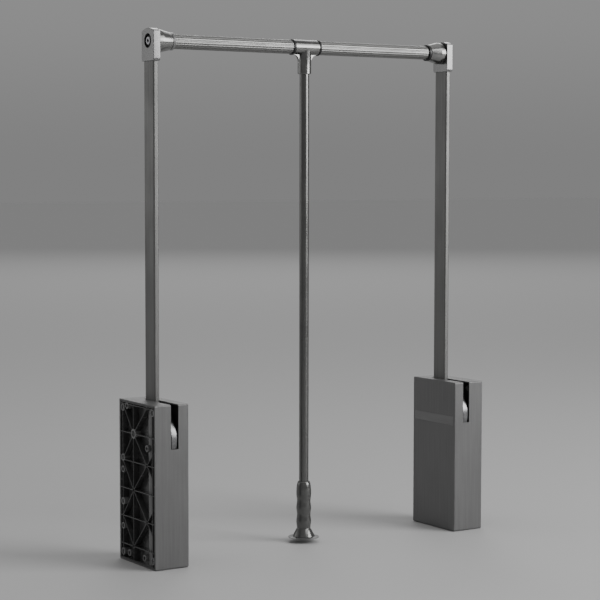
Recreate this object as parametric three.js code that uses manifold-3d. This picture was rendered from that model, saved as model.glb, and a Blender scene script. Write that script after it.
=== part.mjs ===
// Pull down closet rod: two gearboxes fixed to the wardrobe sides, two swinging arms,
// a telescopic rail between the arm heads and a pull rod that hangs from the rail.
// Millimetres, +Z up, X along the rail, -Y to the user.
// The origin lies on the level of the gearbox bottoms, midway between the wardrobe sides.

import * as THREE from 'three';
import { mergeVertices } from 'three/addons/utils/BufferGeometryUtils.js';
import Module from 'manifold-3d';

const wasm = await Module();
wasm.setup();

// Whole product
const wardrobeWidth = 648;
const overallHeight = 850;
const cutOverrun = 5;
const seatGap = 0.3;
const runningClearance = 0.05;

// Gearbox cover: a deep drawn shell, open towards the wardrobe side
const boxWidth = 60;
const boxDepth = 120;
const boxHeight = 260;
const coverWall = 2;
const coverCornerRadius = 2;
const coverEdgeRound = 1.2;
const coverInnerRadius = 1;
const bandCentreDrop = 67;
const bandHeight = 16;
const bandMargin = 4;
const bandRecess = 0.4;

// Pivot of the arm in the gearbox
const pivotBack = 13;
const pivotDrop = 52;
const axleRadius = 5;
const axleEndInset = 6.3;
const bushWall = 1.8;
const bushFlangeRadius = 8;
const bushFlangeThickness = 3;
const bossWall = 2.2;
const bossFloor = 1.5;
const axleChamfer = 0.6;
const pivotHoleDepth = 5;

// Arm: a flat oval steel tube
const armThickness = 9;
const armDepth = 32;
const armWall = 1.3;
const armCornerRadius = 2.2;
const armCentreInset = 35;
const armFootRise = 27;
const slotSideClearance = 2.25;
const slotEndClearance = 2.5;

// Crank hub: the cast lever on the axle that the arm tube is pushed over
const hubThickness = 10;
const hubEyeRadius = 19;
const noseRadius = 37;
const noseForward = 34.5;
const noseDrop = 8.7;
const noseHighAngle = 60;
const noseLowAngle = 215;
const eyeLowAngle = 250;
const eyeHighAngle = 390;
const hubEdgeRound = 0.8;
const tangRise = 82;
const tangFit = 0.2;
const rivetRise = 38;
const rivetRadius = 3;
const rivetHeadRadius = 5;
const rivetHeadThickness = 0.8;
const rivetDomeShare = 0.7;

// Spring drive: a crank roller in the slot of a plunger above a sprung tube
const crankRadius = 36;
const crankAngle = 145;
const crankPinRadius = 3;
const crankPinHeadRadius = 4.2;
const crankPinHeadThickness = 1.5;
const rollerRadius = 4.5;
const rollerSlotClearance = 1.8;
const rollerOverhang = 0.5;
const yokeThickness = 7;
const yokeInset = 18;
const yokeRim = 3.6;
const plungerRodRadius = 5;
const pistonHeight = 12;
const springTubeFrontMargin = 28;
const springTubeInset = 18.5;
const springTubeRadius = 11;
const springTubeWall = 1.5;
const springTubeTop = 150;
const springTubeFoot = 2;
const pistonFit = 0.2;
const pistonTopGap = 1;
const springWireRadius = 1.4;

// Base plate: the ribbed moulding that lies against the wardrobe side
const baseFit = 0.3;
const ribDepth = 10;
const floorThickness = 2.5;
const frameThickness = 2;
const ribThickness = 1.5;
const tunnelClearance = 0.5;
const tunnelWall = 2;
const ribPitch = 45.3;
const nodeRadius = 4;
const crossNodeShare = 0.7;
const pivotRingRadius = 8;
const ringRadius = 5.4;
const ringHoleRadius = 3.4;
const ringBackHeightShares = [0.2115, 0.565];
const ringFootBackShares = [-0.19, 0.235];
const ringFootHeight = 14;
const ringHeadBackShare = 0.29;
const ringHeadDrop = 9;
const ringPivotDrop = 18;

// Screws that hold the base plate in the cover
const screwHeadRadius = 3.8;
const screwHeadHeight = 2.4;
const screwHeadSink = 0.8;
const screwShankRadius = 1.75;
const screwLength = 22;
const screwBossRadius = 4.5;
const screwBossLength = 12;
const screwRecessWall = 1.9;
const screwSlotWidth = 1;
const screwSlotDepth = 1;
const bossWebThickness = 3;
const screwDomeShare = 0.6;
const screwBackMargin = 11;
const screwFrontMargin = 10;
const screwBackHeightShares = [0.05, 0.365, 0.638, 0.95];
const screwFrontHeightShares = [0.054, 0.954];

// Rubber buffer behind the raised arm
const bufferThickness = 8;
const bufferHeight = 14;
const bufferTopDrop = 8;
const bufferWidth = 10;
const bufferNotch = 2;

// Head bracket on top of the arm
const headThickness = 12;
const headDepth = 40;
const headDrop = 32;
const headArchRise = 5;
const headTaper = 1.2;
const headTaperHeight = 5;
const armSocketDepth = 18;
const boltRecessRadius = 11;
const boltRecessDepth = 5;
const boltHeadRadius = 6.5;
const boltHeadHeight = 4.5;
const boltShankRadius = 4;
const boltLength = 22;
const boltKeyAcross = 6;
const boltKeyDepth = 3;
const boltChamfer = 0.7;
const headEdgeRound = 0.8;

// Rail cup: the flared socket between bracket and rail
const cupLength = 32;
const cupBackRadius = 18.3;
const cupMouthRadius = 13.8;
const cupShoulder = 9;
const cupFloor = 9;
const cupRingLip = 4.5;
const cupRingRadius = 14;
const cupRingSleeve = 6;
const cupRingWall = 0.9;
const cupEdgeRound = 0.8;
const ringEdgeRound = 0.6;

// Telescopic rail
const railRadius = 11.6;
const railWall = 2.3;
const fluteCount = 20;
const fluteDepth = 0.45;
const fluteLandShare = 0.4;
const coreWall = 1.6;
const coreHalfLength = 190;
const slideFit = 0.1;

// T piece that turns on the rail, and its stop rings
const teeHalfLength = 23.7;
const teeWall = 3;
const teeStemRadius = 11.3;
const teeStemDrop = 44;
const teeFinReach = 10;
const teeFinDrop = 14;
const teeFinThickness = 5;
const teeEdgeRound = 1;
const stopRingWidth = 3;
const stopRingRadius = 13.1;
const teeScrewRadius = 2;
const teeScrewDrop = 30;
const screwKeyShare = 0.55;

// Pull rod with its grip and foot
const rodRadius = 8;
const rodWall = 1.2;
const rodFootHeight = 13.2;
const rodSocketDrop = 18;
const gripTopHeight = 104;
const gripBottomHeight = 9.6;
const gripRadius = 12.4;
const gripWaistDepth = 0.8;
const gripWaistCount = 3;
const gripWaistPitch = 22.5;
const gripShoulder = 9;
const gripNeckWall = 0.7;
const flareStartHeight = 26.5;
const flareRadius = 18;
const flarePower = 1.3;
const footRadius = 26;
const footHeight = 7;
const footDish = 1;
const footRimWidth = 1.2;
const footRimThickness = 1.2;
const footPlugTop = 28;

// Counts of facets
const shaftFacets = 20;
const smallFacets = 8;
const railFacets = 24;
const cornerFacets = 3;
const noseFacets = 10;
const domeFacets = 12;
const edgeSteps = 1;
const gripSteps = 26;
const gripFacets = 20;
const fluteSteps = 4;

// Places worked out from the sizes above
const springTubeBack = springTubeFrontMargin - boxDepth / 2;
const pivotHeight = boxHeight - pivotDrop;
const railHeight = overallHeight - headDepth / 2;
const railEndX = wardrobeWidth / 2;
const armFootHeight = pivotHeight + armFootRise;
const armTopHeight = railHeight - headDrop + armSocketDepth;
const hubInset = armCentreInset - hubThickness / 2;
const hubInnerInset = armCentreInset + hubThickness / 2;
const headOuterInset = armCentreInset - headThickness / 2;
const headInnerInset = armCentreInset + headThickness / 2;
const floorInset = ribDepth + floorThickness;
const coverInnerInset = boxWidth - coverWall;
const coreRadius = railRadius - railWall - slideFit;
const cupMouthInset = headInnerInset + cupLength;
const railSeatInset = headInnerInset + cupFloor + seatGap;
const bushRadius = axleRadius + bushWall;
const quarterTurn = Math.PI / 2;
const teeScrewHeight = railHeight - teeScrewDrop;

// Materials
const finishes = {
  coverMetal: { color: 0x77777a, roughness: 0.42, metalness: 0.75 },
  blackPlastic: { color: 0x17171a, roughness: 0.45, metalness: 0 },
  armMetal: { color: 0x66666a, roughness: 0.38, metalness: 0.8 },
  castMetal: { color: 0x808084, roughness: 0.35, metalness: 0.8 },
  brightSteel: { color: 0xb4b4b6, roughness: 0.25, metalness: 1 },
  railMetal: { color: 0x7c7c80, roughness: 0.35, metalness: 0.85 },
  springSteel: { color: 0x4a4a4c, roughness: 0.4, metalness: 0.9 },
  rubber: { color: 0x1d1d1e, roughness: 0.8, metalness: 0 },
  gripPlastic: { color: 0x4a4a4d, roughness: 0.35, metalness: 0.2 },
};

// A circle of points in the plane of an outline, counted anticlockwise
function arcPoints(centreX, centreY, radius, startDegrees, endDegrees, steps) {
  const points = [];
  for (let step = 0; step <= steps; step += 1) {
    const degrees = startDegrees + ((endDegrees - startDegrees) * step) / steps;
    const angle = THREE.MathUtils.degToRad(degrees);
    points.push(
      new THREE.Vector2(centreX + radius * Math.cos(angle), centreY + radius * Math.sin(angle)),
    );
  }
  return points;
}

function circlePoints(centreX, centreY, radius, facets) {
  const points = arcPoints(centreX, centreY, radius, 0, 360, facets);
  points.pop();
  return points;
}

function rectanglePoints(lowX, lowY, highX, highY) {
  return [
    new THREE.Vector2(lowX, lowY),
    new THREE.Vector2(highX, lowY),
    new THREE.Vector2(highX, highY),
    new THREE.Vector2(lowX, highY),
  ];
}

function roundedPoints(lowX, lowY, highX, highY, radius) {
  return [
    ...arcPoints(lowX + radius, lowY + radius, radius, 180, 270, cornerFacets),
    ...arcPoints(highX - radius, lowY + radius, radius, 270, 360, cornerFacets),
    ...arcPoints(highX - radius, highY - radius, radius, 0, 90, cornerFacets),
    ...arcPoints(lowX + radius, highY - radius, radius, 90, 180, cornerFacets),
  ];
}

// The radius of a faceted bore whose flats stay clear of a shaft
function boreRadius(shaftRadius, clearance, facets) {
  return (shaftRadius + clearance) / Math.cos(Math.PI / facets);
}

// A closed mesh as a solid that can be joined and cut
function solid(geometry) {
  const bare = geometry.clone();
  bare.deleteAttribute('normal');
  bare.deleteAttribute('uv');
  const merged = mergeVertices(bare);
  const corners = merged.index.array;
  const kept = [];
  for (let i = 0; i < corners.length; i += 3) {
    const [a, b, c] = [corners[i], corners[i + 1], corners[i + 2]];
    if (a !== b && b !== c && c !== a) kept.push(a, b, c);
  }
  const mesh = { numProp: 3, vertProperties: merged.attributes.position.array };
  const made = new wasm.Manifold(new wasm.Mesh({ ...mesh, triVerts: new Uint32Array(kept) }));
  if (made.volume() > 0) return made;
  const turned = new Uint32Array(kept.length);
  for (let i = 0; i < kept.length; i += 3) turned.set([kept[i], kept[i + 2], kept[i + 1]], i);
  return new wasm.Manifold(new wasm.Mesh({ ...mesh, triVerts: turned }));
}

function join(...solids) {
  return solids.reduce((whole, piece) => whole.add(piece));
}

function cut(whole, ...tools) {
  return tools.reduce((left, tool) => left.subtract(tool), whole);
}

// An outline in Y and Z, extruded along X
function alongX(points, fromX, toX, holes = [], bevel = 0) {
  const shape = new THREE.Shape(points);
  for (const hole of holes) shape.holes.push(new THREE.Path(hole));
  const geometry = new THREE.ExtrudeGeometry(shape, {
    depth: toX - fromX - 2 * bevel,
    bevelEnabled: bevel > 0,
    bevelThickness: bevel,
    bevelSize: bevel,
    bevelOffset: -bevel,
    bevelSegments: edgeSteps,
  });
  geometry.translate(0, 0, fromX + bevel);
  const turn = new THREE.Matrix4().makeBasis(
    new THREE.Vector3(0, 1, 0),
    new THREE.Vector3(0, 0, 1),
    new THREE.Vector3(1, 0, 0),
  );
  return solid(geometry.applyMatrix4(turn));
}

// An outline in X and Z, extruded along Y
function alongY(points, fromY, toY) {
  const geometry = new THREE.ExtrudeGeometry(new THREE.Shape(points), {
    depth: toY - fromY,
    bevelEnabled: false,
  });
  geometry.rotateX(quarterTurn);
  return solid(geometry.translate(0, toY, 0));
}

// An outline in X and Y, extruded along Z
function alongZ(points, fromZ, toZ, holes = []) {
  const shape = new THREE.Shape(points);
  for (const hole of holes) shape.holes.push(new THREE.Path(hole));
  const geometry = new THREE.ExtrudeGeometry(shape, { depth: toZ - fromZ, bevelEnabled: false });
  return solid(geometry.translate(0, 0, fromZ));
}

function rodX(radius, fromX, toX, y, z, facets = shaftFacets) {
  return alongX(circlePoints(y, z, radius, facets), fromX, toX);
}

function blockX(fromX, toX, lowY, highY, lowZ, highZ) {
  return alongX(rectanglePoints(lowY, lowZ, highY, highZ), fromX, toX);
}

// A profile of radius and height, turned about an axis parallel to Z or to X
function turnedZ(profile, x, y, facets = shaftFacets) {
  const geometry = new THREE.LatheGeometry(profile, facets).rotateX(quarterTurn);
  return solid(geometry.translate(x, y, 0));
}

function turnedX(profile, y, z, facets = shaftFacets) {
  const geometry = new THREE.LatheGeometry(profile, facets).rotateZ(-quarterTurn);
  return solid(geometry.translate(0, y, z));
}

function profileOf(...pairs) {
  return pairs.map(([radius, place]) => new THREE.Vector2(radius, place));
}

// A finished solid as a named mesh with a material of its own
function piece(name, finish, made) {
  const mesh = made.getMesh();
  const geometry = new THREE.BufferGeometry();
  geometry.setAttribute('position', new THREE.BufferAttribute(mesh.vertProperties, 3));
  geometry.setIndex(new THREE.BufferAttribute(mesh.triVerts, 1));
  geometry.computeVertexNormals();
  const shown = new THREE.Mesh(geometry, new THREE.MeshStandardMaterial(finishes[finish]));
  shown.name = name;
  return shown;
}

// Gearbox housing

const backColumn = boxDepth / 2 - screwBackMargin;
const frontColumn = screwFrontMargin - boxDepth / 2;
const screwPlaces = [
  ...screwBackHeightShares.map((share) => [backColumn, share * boxHeight]),
  ...screwFrontHeightShares.map((share) => [frontColumn, share * boxHeight]),
];
const bufferFront = pivotBack + armDepth / 2 + seatGap;
const bufferBack = bufferFront + bufferThickness;
const bufferTop = boxHeight - bufferTopDrop;
const bufferBottom = bufferTop - bufferHeight;
const outerFlangeInset = hubInset - seatGap - bushFlangeThickness;
const innerFlangeInset = hubInnerInset + seatGap + bushFlangeThickness;
const innerBoreInset = coverInnerInset - bossFloor;
const bossRadius = bushRadius + runningClearance + bossWall;

// A boss for one base screw, with a web to the nearest long wall
function screwBoss([y, z]) {
  const start = floorInset + seatGap;
  const end = start + screwBossLength;
  const wallSide = Math.sign(y) * (boxDepth / 2 - coverWall / 2);
  const web = blockX(
    start,
    end,
    Math.min(y, wallSide),
    Math.max(y, wallSide),
    z - bossWebThickness / 2,
    z + bossWebThickness / 2,
  );
  const bore = boreRadius(screwShankRadius, runningClearance, smallFacets);
  return cut(
    join(rodX(screwBossRadius, start, end, y, z, smallFacets), web),
    rodX(bore, start - cutOverrun, end + cutOverrun, y, z, smallFacets),
  );
}

function housingCover() {
  const half = boxDepth / 2;
  const outer = alongX(
    roundedPoints(-half, 0, half, boxHeight, coverCornerRadius),
    -cutOverrun,
    boxWidth,
    [],
    coverEdgeRound,
  );
  const trim = blockX(
    -2 * cutOverrun,
    0,
    -half - cutOverrun,
    half + cutOverrun,
    -cutOverrun,
    boxHeight + cutOverrun,
  );
  const inside = alongX(
    roundedPoints(
      coverWall - half,
      coverWall,
      half - coverWall,
      boxHeight - coverWall,
      coverInnerRadius,
    ),
    -cutOverrun,
    coverInnerInset,
  );
  const slot = blockX(
    armCentreInset - armThickness / 2 - slotSideClearance,
    armCentreInset + armThickness / 2 + slotSideClearance,
    -half - cutOverrun,
    pivotBack + armDepth / 2 + slotEndClearance,
    pivotHeight - armDepth / 2 - slotEndClearance,
    boxHeight + cutOverrun,
  );
  const bandCentre = boxHeight - bandCentreDrop;
  const band = blockX(
    boxWidth - bandRecess,
    boxWidth + cutOverrun,
    bandMargin - half,
    half - bandMargin,
    bandCentre - bandHeight / 2,
    bandCentre + bandHeight / 2,
  );
  const pivotBoss = cut(
    rodX(bossRadius, innerFlangeInset + seatGap, coverInnerInset + coverWall / 2, pivotBack, pivotHeight),
    rodX(
      boreRadius(bushRadius, runningClearance, shaftFacets),
      innerFlangeInset - cutOverrun,
      innerBoreInset,
      pivotBack,
      pivotHeight,
    ),
  );
  const stopBlock = cut(
    blockX(
      armCentreInset - bufferWidth / 2 - bufferNotch,
      armCentreInset + bufferWidth / 2 + bufferNotch,
      bufferBack - bufferNotch,
      half - coverWall / 2,
      bufferBottom - bufferNotch,
      bufferTop + bufferNotch,
    ),
    blockX(
      armCentreInset - bufferWidth / 2 - runningClearance,
      armCentreInset + bufferWidth / 2 + runningClearance,
      bufferFront,
      bufferBack + runningClearance,
      bufferBottom - runningClearance,
      bufferTop + runningClearance,
    ),
  );
  const shell = cut(outer, trim, inside, slot, band);
  return join(shell, pivotBoss, stopBlock, ...screwPlaces.map(screwBoss));
}

// A rubber block whose front is crowned towards the arm
function stopBuffer() {
  const middle = (bufferTop + bufferBottom) / 2;
  const crown = arcPoints(bufferFront + bufferHeight / 2, middle, bufferHeight / 2, 135, 225, cornerFacets);
  const points = [
    ...crown.map(({ x, y }) => new THREE.Vector2(Math.max(x, bufferFront), y)),
    new THREE.Vector2(bufferBack - bufferNotch, bufferBottom),
    new THREE.Vector2(bufferBack, bufferBottom),
    new THREE.Vector2(bufferBack, bufferTop),
    new THREE.Vector2(bufferBack - bufferNotch, bufferTop),
  ];
  return alongX(points, armCentreInset - bufferWidth / 2, armCentreInset + bufferWidth / 2);
}

// Ribs of the base plate: rows at a pitch from the pivot, with star nodes in the pivot's
// column and cross nodes in the spring tube's column. The pockets between them are cut out.
const baseLowY = coverWall + baseFit - boxDepth / 2;
const baseHighY = boxDepth / 2 - coverWall - baseFit;
const baseLowZ = coverWall + baseFit;
const baseHighZ = boxHeight - coverWall - baseFit;
const tunnelInnerRadius = springTubeRadius + tunnelClearance;
const starRows = [0, -2, -4].map((row) => pivotHeight + row * ribPitch);
const crossRows = [1, -1, -3].map((row) => pivotHeight + row * ribPitch);

// A pocket between ribs: its outline drawn in by half a rib on every side, down to the floor
function pocket(corners) {
  const inset = ribThickness / 2;
  const around = THREE.ShapeUtils.area(corners) > 0 ? corners : [...corners].reverse();
  const edges = around.map((corner, index) => {
    const next = around[(index + 1) % around.length];
    const along = next.clone().sub(corner).normalize();
    const inward = new THREE.Vector2(-along.y, along.x);
    return { start: corner.clone().addScaledVector(inward, inset), along };
  });
  const drawnIn = edges.map((edge, index) => {
    const before = edges[(index + edges.length - 1) % edges.length];
    const across = before.along.x * edge.along.y - before.along.y * edge.along.x;
    const apart = edge.start.clone().sub(before.start);
    const run = (apart.x * edge.along.y - apart.y * edge.along.x) / across;
    return before.start.clone().addScaledVector(before.along, run);
  });
  return alongX(drawnIn, -cutOverrun, ribDepth);
}

// The pockets between a star row and a cross row, in all four columns
function bandPockets(starZ, crossZ, hasStarBeyond) {
  const at = (y, z) => new THREE.Vector2(y, z);
  const star = at(pivotBack, starZ);
  const cross = at(springTubeBack, crossZ);
  const reachShare = (springTubeBack - frontColumn) / (pivotBack - springTubeBack);
  const frontEnd = at(frontColumn, hasStarBeyond ? crossZ + (starZ - crossZ) * reachShare : crossZ);
  const lowEdge = baseLowY + frameThickness - ribThickness / 2;
  const highEdge = baseHighY - frameThickness + ribThickness / 2;
  const outlines = [
    [at(lowEdge, starZ), at(frontColumn, starZ), at(frontColumn, crossZ), at(lowEdge, crossZ)],
    [star, at(frontColumn, starZ), frontEnd, cross],
    [star, cross, at(pivotBack, crossZ)],
    [star, at(backColumn, starZ), at(backColumn, crossZ)],
    [star, at(backColumn, crossZ), at(pivotBack, crossZ)],
    [at(backColumn, starZ), at(highEdge, starZ), at(highEdge, crossZ), at(backColumn, crossZ)],
  ];
  if (hasStarBeyond) outlines.push([cross, frontEnd, at(frontColumn, crossZ)]);
  return outlines.map(pocket);
}

function basePockets() {
  const pockets = [];
  starRows.forEach((starZ, index) => {
    pockets.push(...bandPockets(starZ, crossRows[index], index > 0));
    if (index + 1 < crossRows.length) {
      pockets.push(...bandPockets(starZ, crossRows[index + 1], true));
    }
  });
  const lowest = starRows[starRows.length - 1];
  const floor = baseLowZ + frameThickness - ribThickness / 2;
  const columns = [
    baseLowY + frameThickness - ribThickness / 2,
    frontColumn,
    pivotBack,
    backColumn,
    baseHighY - frameThickness + ribThickness / 2,
  ];
  for (let index = 0; index + 1 < columns.length; index += 1) {
    pockets.push(pocket(rectanglePoints(columns[index], floor, columns[index + 1], lowest)));
  }
  return pockets;
}

function baseNodes() {
  return [
    ...starRows.map((z) => rodX(nodeRadius, 0, floorInset, pivotBack, z, smallFacets)),
    ...crossRows.map((z) =>
      rodX(nodeRadius * crossNodeShare, 0, floorInset, springTubeBack, z, smallFacets),
    ),
  ];
}

// Round sockets between the ribs, open towards the wardrobe side
function baseRings() {
  const places = [
    ...ringBackHeightShares.map((share) => [backColumn, share * boxHeight]),
    ...ringFootBackShares.map((share) => [share * boxDepth, ringFootHeight]),
    [ringHeadBackShare * boxDepth, boxHeight - ringHeadDrop],
    [springTubeBack, pivotHeight - ringPivotDrop],
  ];
  const rings = places.map(([y, z]) => rodX(ringRadius, 0, floorInset, y, z, smallFacets));
  const holes = places.map(([y, z]) =>
    rodX(ringHoleRadius, -cutOverrun, ribDepth, y, z, smallFacets),
  );
  return { rings, holes };
}

function basePlate() {
  const outline = alongX(
    roundedPoints(baseLowY, baseLowZ, baseHighY, baseHighZ, coverInnerRadius),
    0,
    floorInset,
  );
  const tunnel = alongZ(
    circlePoints(springTubeInset, springTubeBack, tunnelInnerRadius + tunnelWall, shaftFacets),
    baseLowZ + frameThickness / 2,
    baseHighZ - frameThickness / 2,
  );
  const channel = alongZ(
    circlePoints(springTubeInset, springTubeBack, tunnelInnerRadius, shaftFacets),
    baseLowZ + frameThickness,
    baseHighZ - frameThickness,
  );
  const recessRadius = screwHeadRadius + seatGap;
  const screwColumns = screwPlaces.map(([y, z]) =>
    rodX(recessRadius + screwRecessWall, 0, floorInset, y, z, smallFacets),
  );
  const { rings, holes } = baseRings();
  const within = (made) => made.intersect(outline);
  const solidPart = join(
    cut(outline, ...basePockets()),
    ...[tunnel, ...baseNodes(), ...screwColumns, ...rings].map(within),
    rodX(pivotRingRadius, 0, floorInset, pivotBack, pivotHeight),
    rodX(bossRadius, ribDepth, outerFlangeInset - seatGap, pivotBack, pivotHeight),
  );
  const screwHoles = screwPlaces.flatMap(([y, z]) => [
    rodX(recessRadius, -cutOverrun, screwHeadSink + screwHeadHeight + seatGap, y, z, smallFacets),
    rodX(
      boreRadius(screwShankRadius, runningClearance, smallFacets),
      -cutOverrun,
      floorInset + cutOverrun,
      y,
      z,
      smallFacets,
    ),
  ]);
  const pivotHoles = [
    rodX(axleRadius, -cutOverrun, pivotHoleDepth + cutOverrun, pivotBack, pivotHeight),
    rodX(
      boreRadius(bushRadius, runningClearance, shaftFacets),
      pivotHoleDepth,
      outerFlangeInset + cutOverrun,
      pivotBack,
      pivotHeight,
    ),
  ];
  return cut(solidPart, channel, ...holes, ...screwHoles, ...pivotHoles);
}

// A domed screw with a straight slot, its head against the bottom of its recess
function baseScrew([y, z]) {
  const headEnd = screwHeadSink + screwHeadHeight;
  const profile = profileOf(
    [0, screwHeadSink],
    [screwHeadRadius * screwDomeShare, screwHeadSink],
    [screwHeadRadius, screwHeadSink + screwHeadHeight / 2],
    [screwHeadRadius, headEnd],
    [screwShankRadius, headEnd],
    [screwShankRadius, headEnd + screwLength - screwShankRadius],
    [0, headEnd + screwLength],
  );
  const slot = blockX(
    screwHeadSink - cutOverrun,
    screwHeadSink + screwSlotDepth,
    y - screwSlotWidth / 2,
    y + screwSlotWidth / 2,
    z - screwHeadRadius,
    z + screwHeadRadius,
  );
  return cut(turnedX(profile, y, z, smallFacets), slot);
}

// Spring drive inside the gearbox

const crankStart = THREE.MathUtils.degToRad(crankAngle);
const crankY = pivotBack + crankRadius * Math.cos(crankStart);
const crankZ = pivotHeight + crankRadius * Math.sin(crankStart);
const crankLoweredY = pivotBack - crankRadius * Math.sin(crankStart);
const slotHalf = rollerRadius + rollerSlotClearance;
const slotFront = pivotBack - crankRadius - slotHalf;
const slotBack = Math.max(crankY, crankLoweredY) + slotHalf;
const tubeFootHeight = baseLowZ + frameThickness + seatGap;
const pistonTop = springTubeTop - springTubeWall - pistonTopGap;
const pistonRadius = springTubeRadius - springTubeWall - pistonFit;

function springTube() {
  const inner = springTubeRadius - springTubeWall;
  const rodBore = boreRadius(plungerRodRadius, pistonFit, shaftFacets);
  const profile = profileOf(
    [0, tubeFootHeight],
    [springTubeRadius, tubeFootHeight],
    [springTubeRadius, springTubeTop],
    [rodBore, springTubeTop],
    [rodBore, springTubeTop - springTubeWall],
    [inner, springTubeTop - springTubeWall],
    [inner, tubeFootHeight + springTubeFoot],
    [0, tubeFootHeight + springTubeFoot],
  );
  return turnedZ(profile, springTubeInset, springTubeBack);
}

function returnSpring() {
  const low = tubeFootHeight + springTubeFoot + seatGap;
  const high = pistonTop - pistonHeight - seatGap;
  const inner = pistonRadius - 2 * springWireRadius;
  const profile = profileOf(
    [inner, low],
    [pistonRadius, low],
    [pistonRadius, high],
    [inner, high],
    [inner, low],
  );
  return turnedZ(profile, springTubeInset, springTubeBack);
}

// The slotted head that the crank roller works in, on the rod of the sprung piston
function plunger() {
  const yokeFront = Math.min(slotFront - yokeRim, springTubeBack - plungerRodRadius);
  const yokeBottom = crankZ - slotHalf - yokeRim;
  const yokeTop = crankZ + slotHalf + yokeRim;
  const yoke = alongX(
    roundedPoints(yokeFront, yokeBottom, slotBack + yokeRim, yokeTop, yokeRim),
    yokeInset,
    yokeInset + yokeThickness,
    [roundedPoints(slotFront, crankZ - slotHalf, slotBack, crankZ + slotHalf, rollerRadius)],
  );
  const profile = profileOf(
    [0, pistonTop - pistonHeight],
    [pistonRadius, pistonTop - pistonHeight],
    [pistonRadius, pistonTop],
    [plungerRodRadius, pistonTop],
    [plungerRodRadius, yokeBottom + yokeRim / 2],
    [0, yokeBottom + yokeRim / 2],
  );
  return join(yoke, turnedZ(profile, springTubeInset, springTubeBack));
}

const rollerStart = yokeInset - rollerOverhang;
const rollerEnd = yokeInset + yokeThickness + rollerOverhang;

function crankRoller() {
  const bore = boreRadius(crankPinRadius, runningClearance, shaftFacets);
  return cut(
    rodX(rollerRadius, rollerStart, rollerEnd, crankY, crankZ),
    rodX(bore, rollerStart - cutOverrun, rollerEnd + cutOverrun, crankY, crankZ),
  );
}

function crankPin() {
  const headEnd = rollerStart - seatGap;
  const profile = profileOf(
    [0, headEnd - crankPinHeadThickness],
    [crankPinHeadRadius, headEnd - crankPinHeadThickness],
    [crankPinHeadRadius, headEnd],
    [crankPinRadius, headEnd],
    [crankPinRadius, rollerEnd + seatGap],
    [crankPinHeadRadius, rollerEnd + seatGap],
    [crankPinHeadRadius, hubInset - seatGap],
    [crankPinRadius, hubInset - seatGap],
    [crankPinRadius, hubInnerInset],
    [0, hubInnerInset],
  );
  return turnedX(profile, crankY, crankZ);
}

// Pivot

function pivotAxle() {
  const end = innerBoreInset - seatGap;
  const profile = profileOf(
    [0, axleEndInset],
    [axleRadius - axleChamfer, axleEndInset],
    [axleRadius, axleEndInset + axleChamfer],
    [axleRadius, end - axleChamfer],
    [axleRadius - axleChamfer, end],
    [0, end],
  );
  return turnedX(profile, pivotBack, pivotHeight);
}

// A flanged bush; the flange end lies towards the hub
function pivotBush(sleeveEnd, flangeStart, flangeEnd) {
  const bore = boreRadius(axleRadius, runningClearance, shaftFacets);
  const profile = profileOf(
    [bore, sleeveEnd],
    [bushRadius, sleeveEnd],
    [bushRadius, flangeStart],
    [bushFlangeRadius, flangeStart],
    [bushFlangeRadius, flangeEnd],
    [bore, flangeEnd],
    [bore, sleeveEnd],
  );
  return turnedX(profile, pivotBack, pivotHeight);
}

// The cast crank: a nosed lobe, the eye on the axle and the tang inside the arm tube
function crankHub() {
  const noseY = pivotBack - noseForward;
  const noseZ = pivotHeight - noseDrop;
  const tangDepth = armDepth - 2 * armWall - 2 * tangFit;
  const lobeOutline = [
    ...arcPoints(noseY, noseZ, noseRadius, noseHighAngle, noseLowAngle, noseFacets),
    ...arcPoints(pivotBack, pivotHeight, hubEyeRadius, eyeLowAngle, eyeHighAngle, noseFacets),
  ];
  const lobe = alongX(lobeOutline, hubInset, hubInnerInset, [], hubEdgeRound);
  const eye = rodX(hubEyeRadius, hubInset, hubInnerInset, pivotBack, pivotHeight);
  const shoulder = blockX(
    hubInset,
    hubInnerInset,
    pivotBack - tangDepth / 2,
    pivotBack + tangDepth / 2,
    pivotHeight,
    armFootHeight - seatGap,
  );
  const tang = alongZ(armOutline(armWall + tangFit), pivotHeight, pivotHeight + tangRise);
  const through = (radius, y, z) =>
    rodX(
      boreRadius(radius, runningClearance, shaftFacets),
      hubInset - cutOverrun,
      hubInnerInset + cutOverrun,
      y,
      z,
    );
  return cut(
    join(lobe, eye, shoulder, tang),
    through(axleRadius, pivotBack, pivotHeight),
    through(crankPinRadius, crankY, crankZ),
    through(rivetRadius, pivotBack, pivotHeight + rivetRise),
  );
}

// Arm

function armOutline(shrink) {
  return roundedPoints(
    armCentreInset - armThickness / 2 + shrink,
    pivotBack - armDepth / 2 + shrink,
    armCentreInset + armThickness / 2 - shrink,
    pivotBack + armDepth / 2 - shrink,
    Math.max(armCornerRadius - shrink, 0),
  );
}

function armTube() {
  const tube = alongZ(armOutline(0), armFootHeight, armTopHeight, [armOutline(armWall)]);
  const hole = rodX(
    boreRadius(rivetRadius, runningClearance, shaftFacets),
    hubInset - cutOverrun,
    hubInnerInset + cutOverrun,
    pivotBack,
    pivotHeight + rivetRise,
  );
  return cut(tube, hole);
}

function armRivet() {
  const low = armCentreInset - armThickness / 2 - runningClearance;
  const high = armCentreInset + armThickness / 2 + runningClearance;
  const profile = profileOf(
    [0, low - rivetHeadThickness],
    [rivetHeadRadius * rivetDomeShare, low - rivetHeadThickness],
    [rivetHeadRadius, low],
    [rivetRadius, low],
    [rivetRadius, high],
    [rivetHeadRadius, high],
    [rivetHeadRadius * rivetDomeShare, high + rivetHeadThickness],
    [0, high + rivetHeadThickness],
  );
  return turnedX(profile, pivotBack, pivotHeight + rivetRise);
}

// Head of the arm

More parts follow.
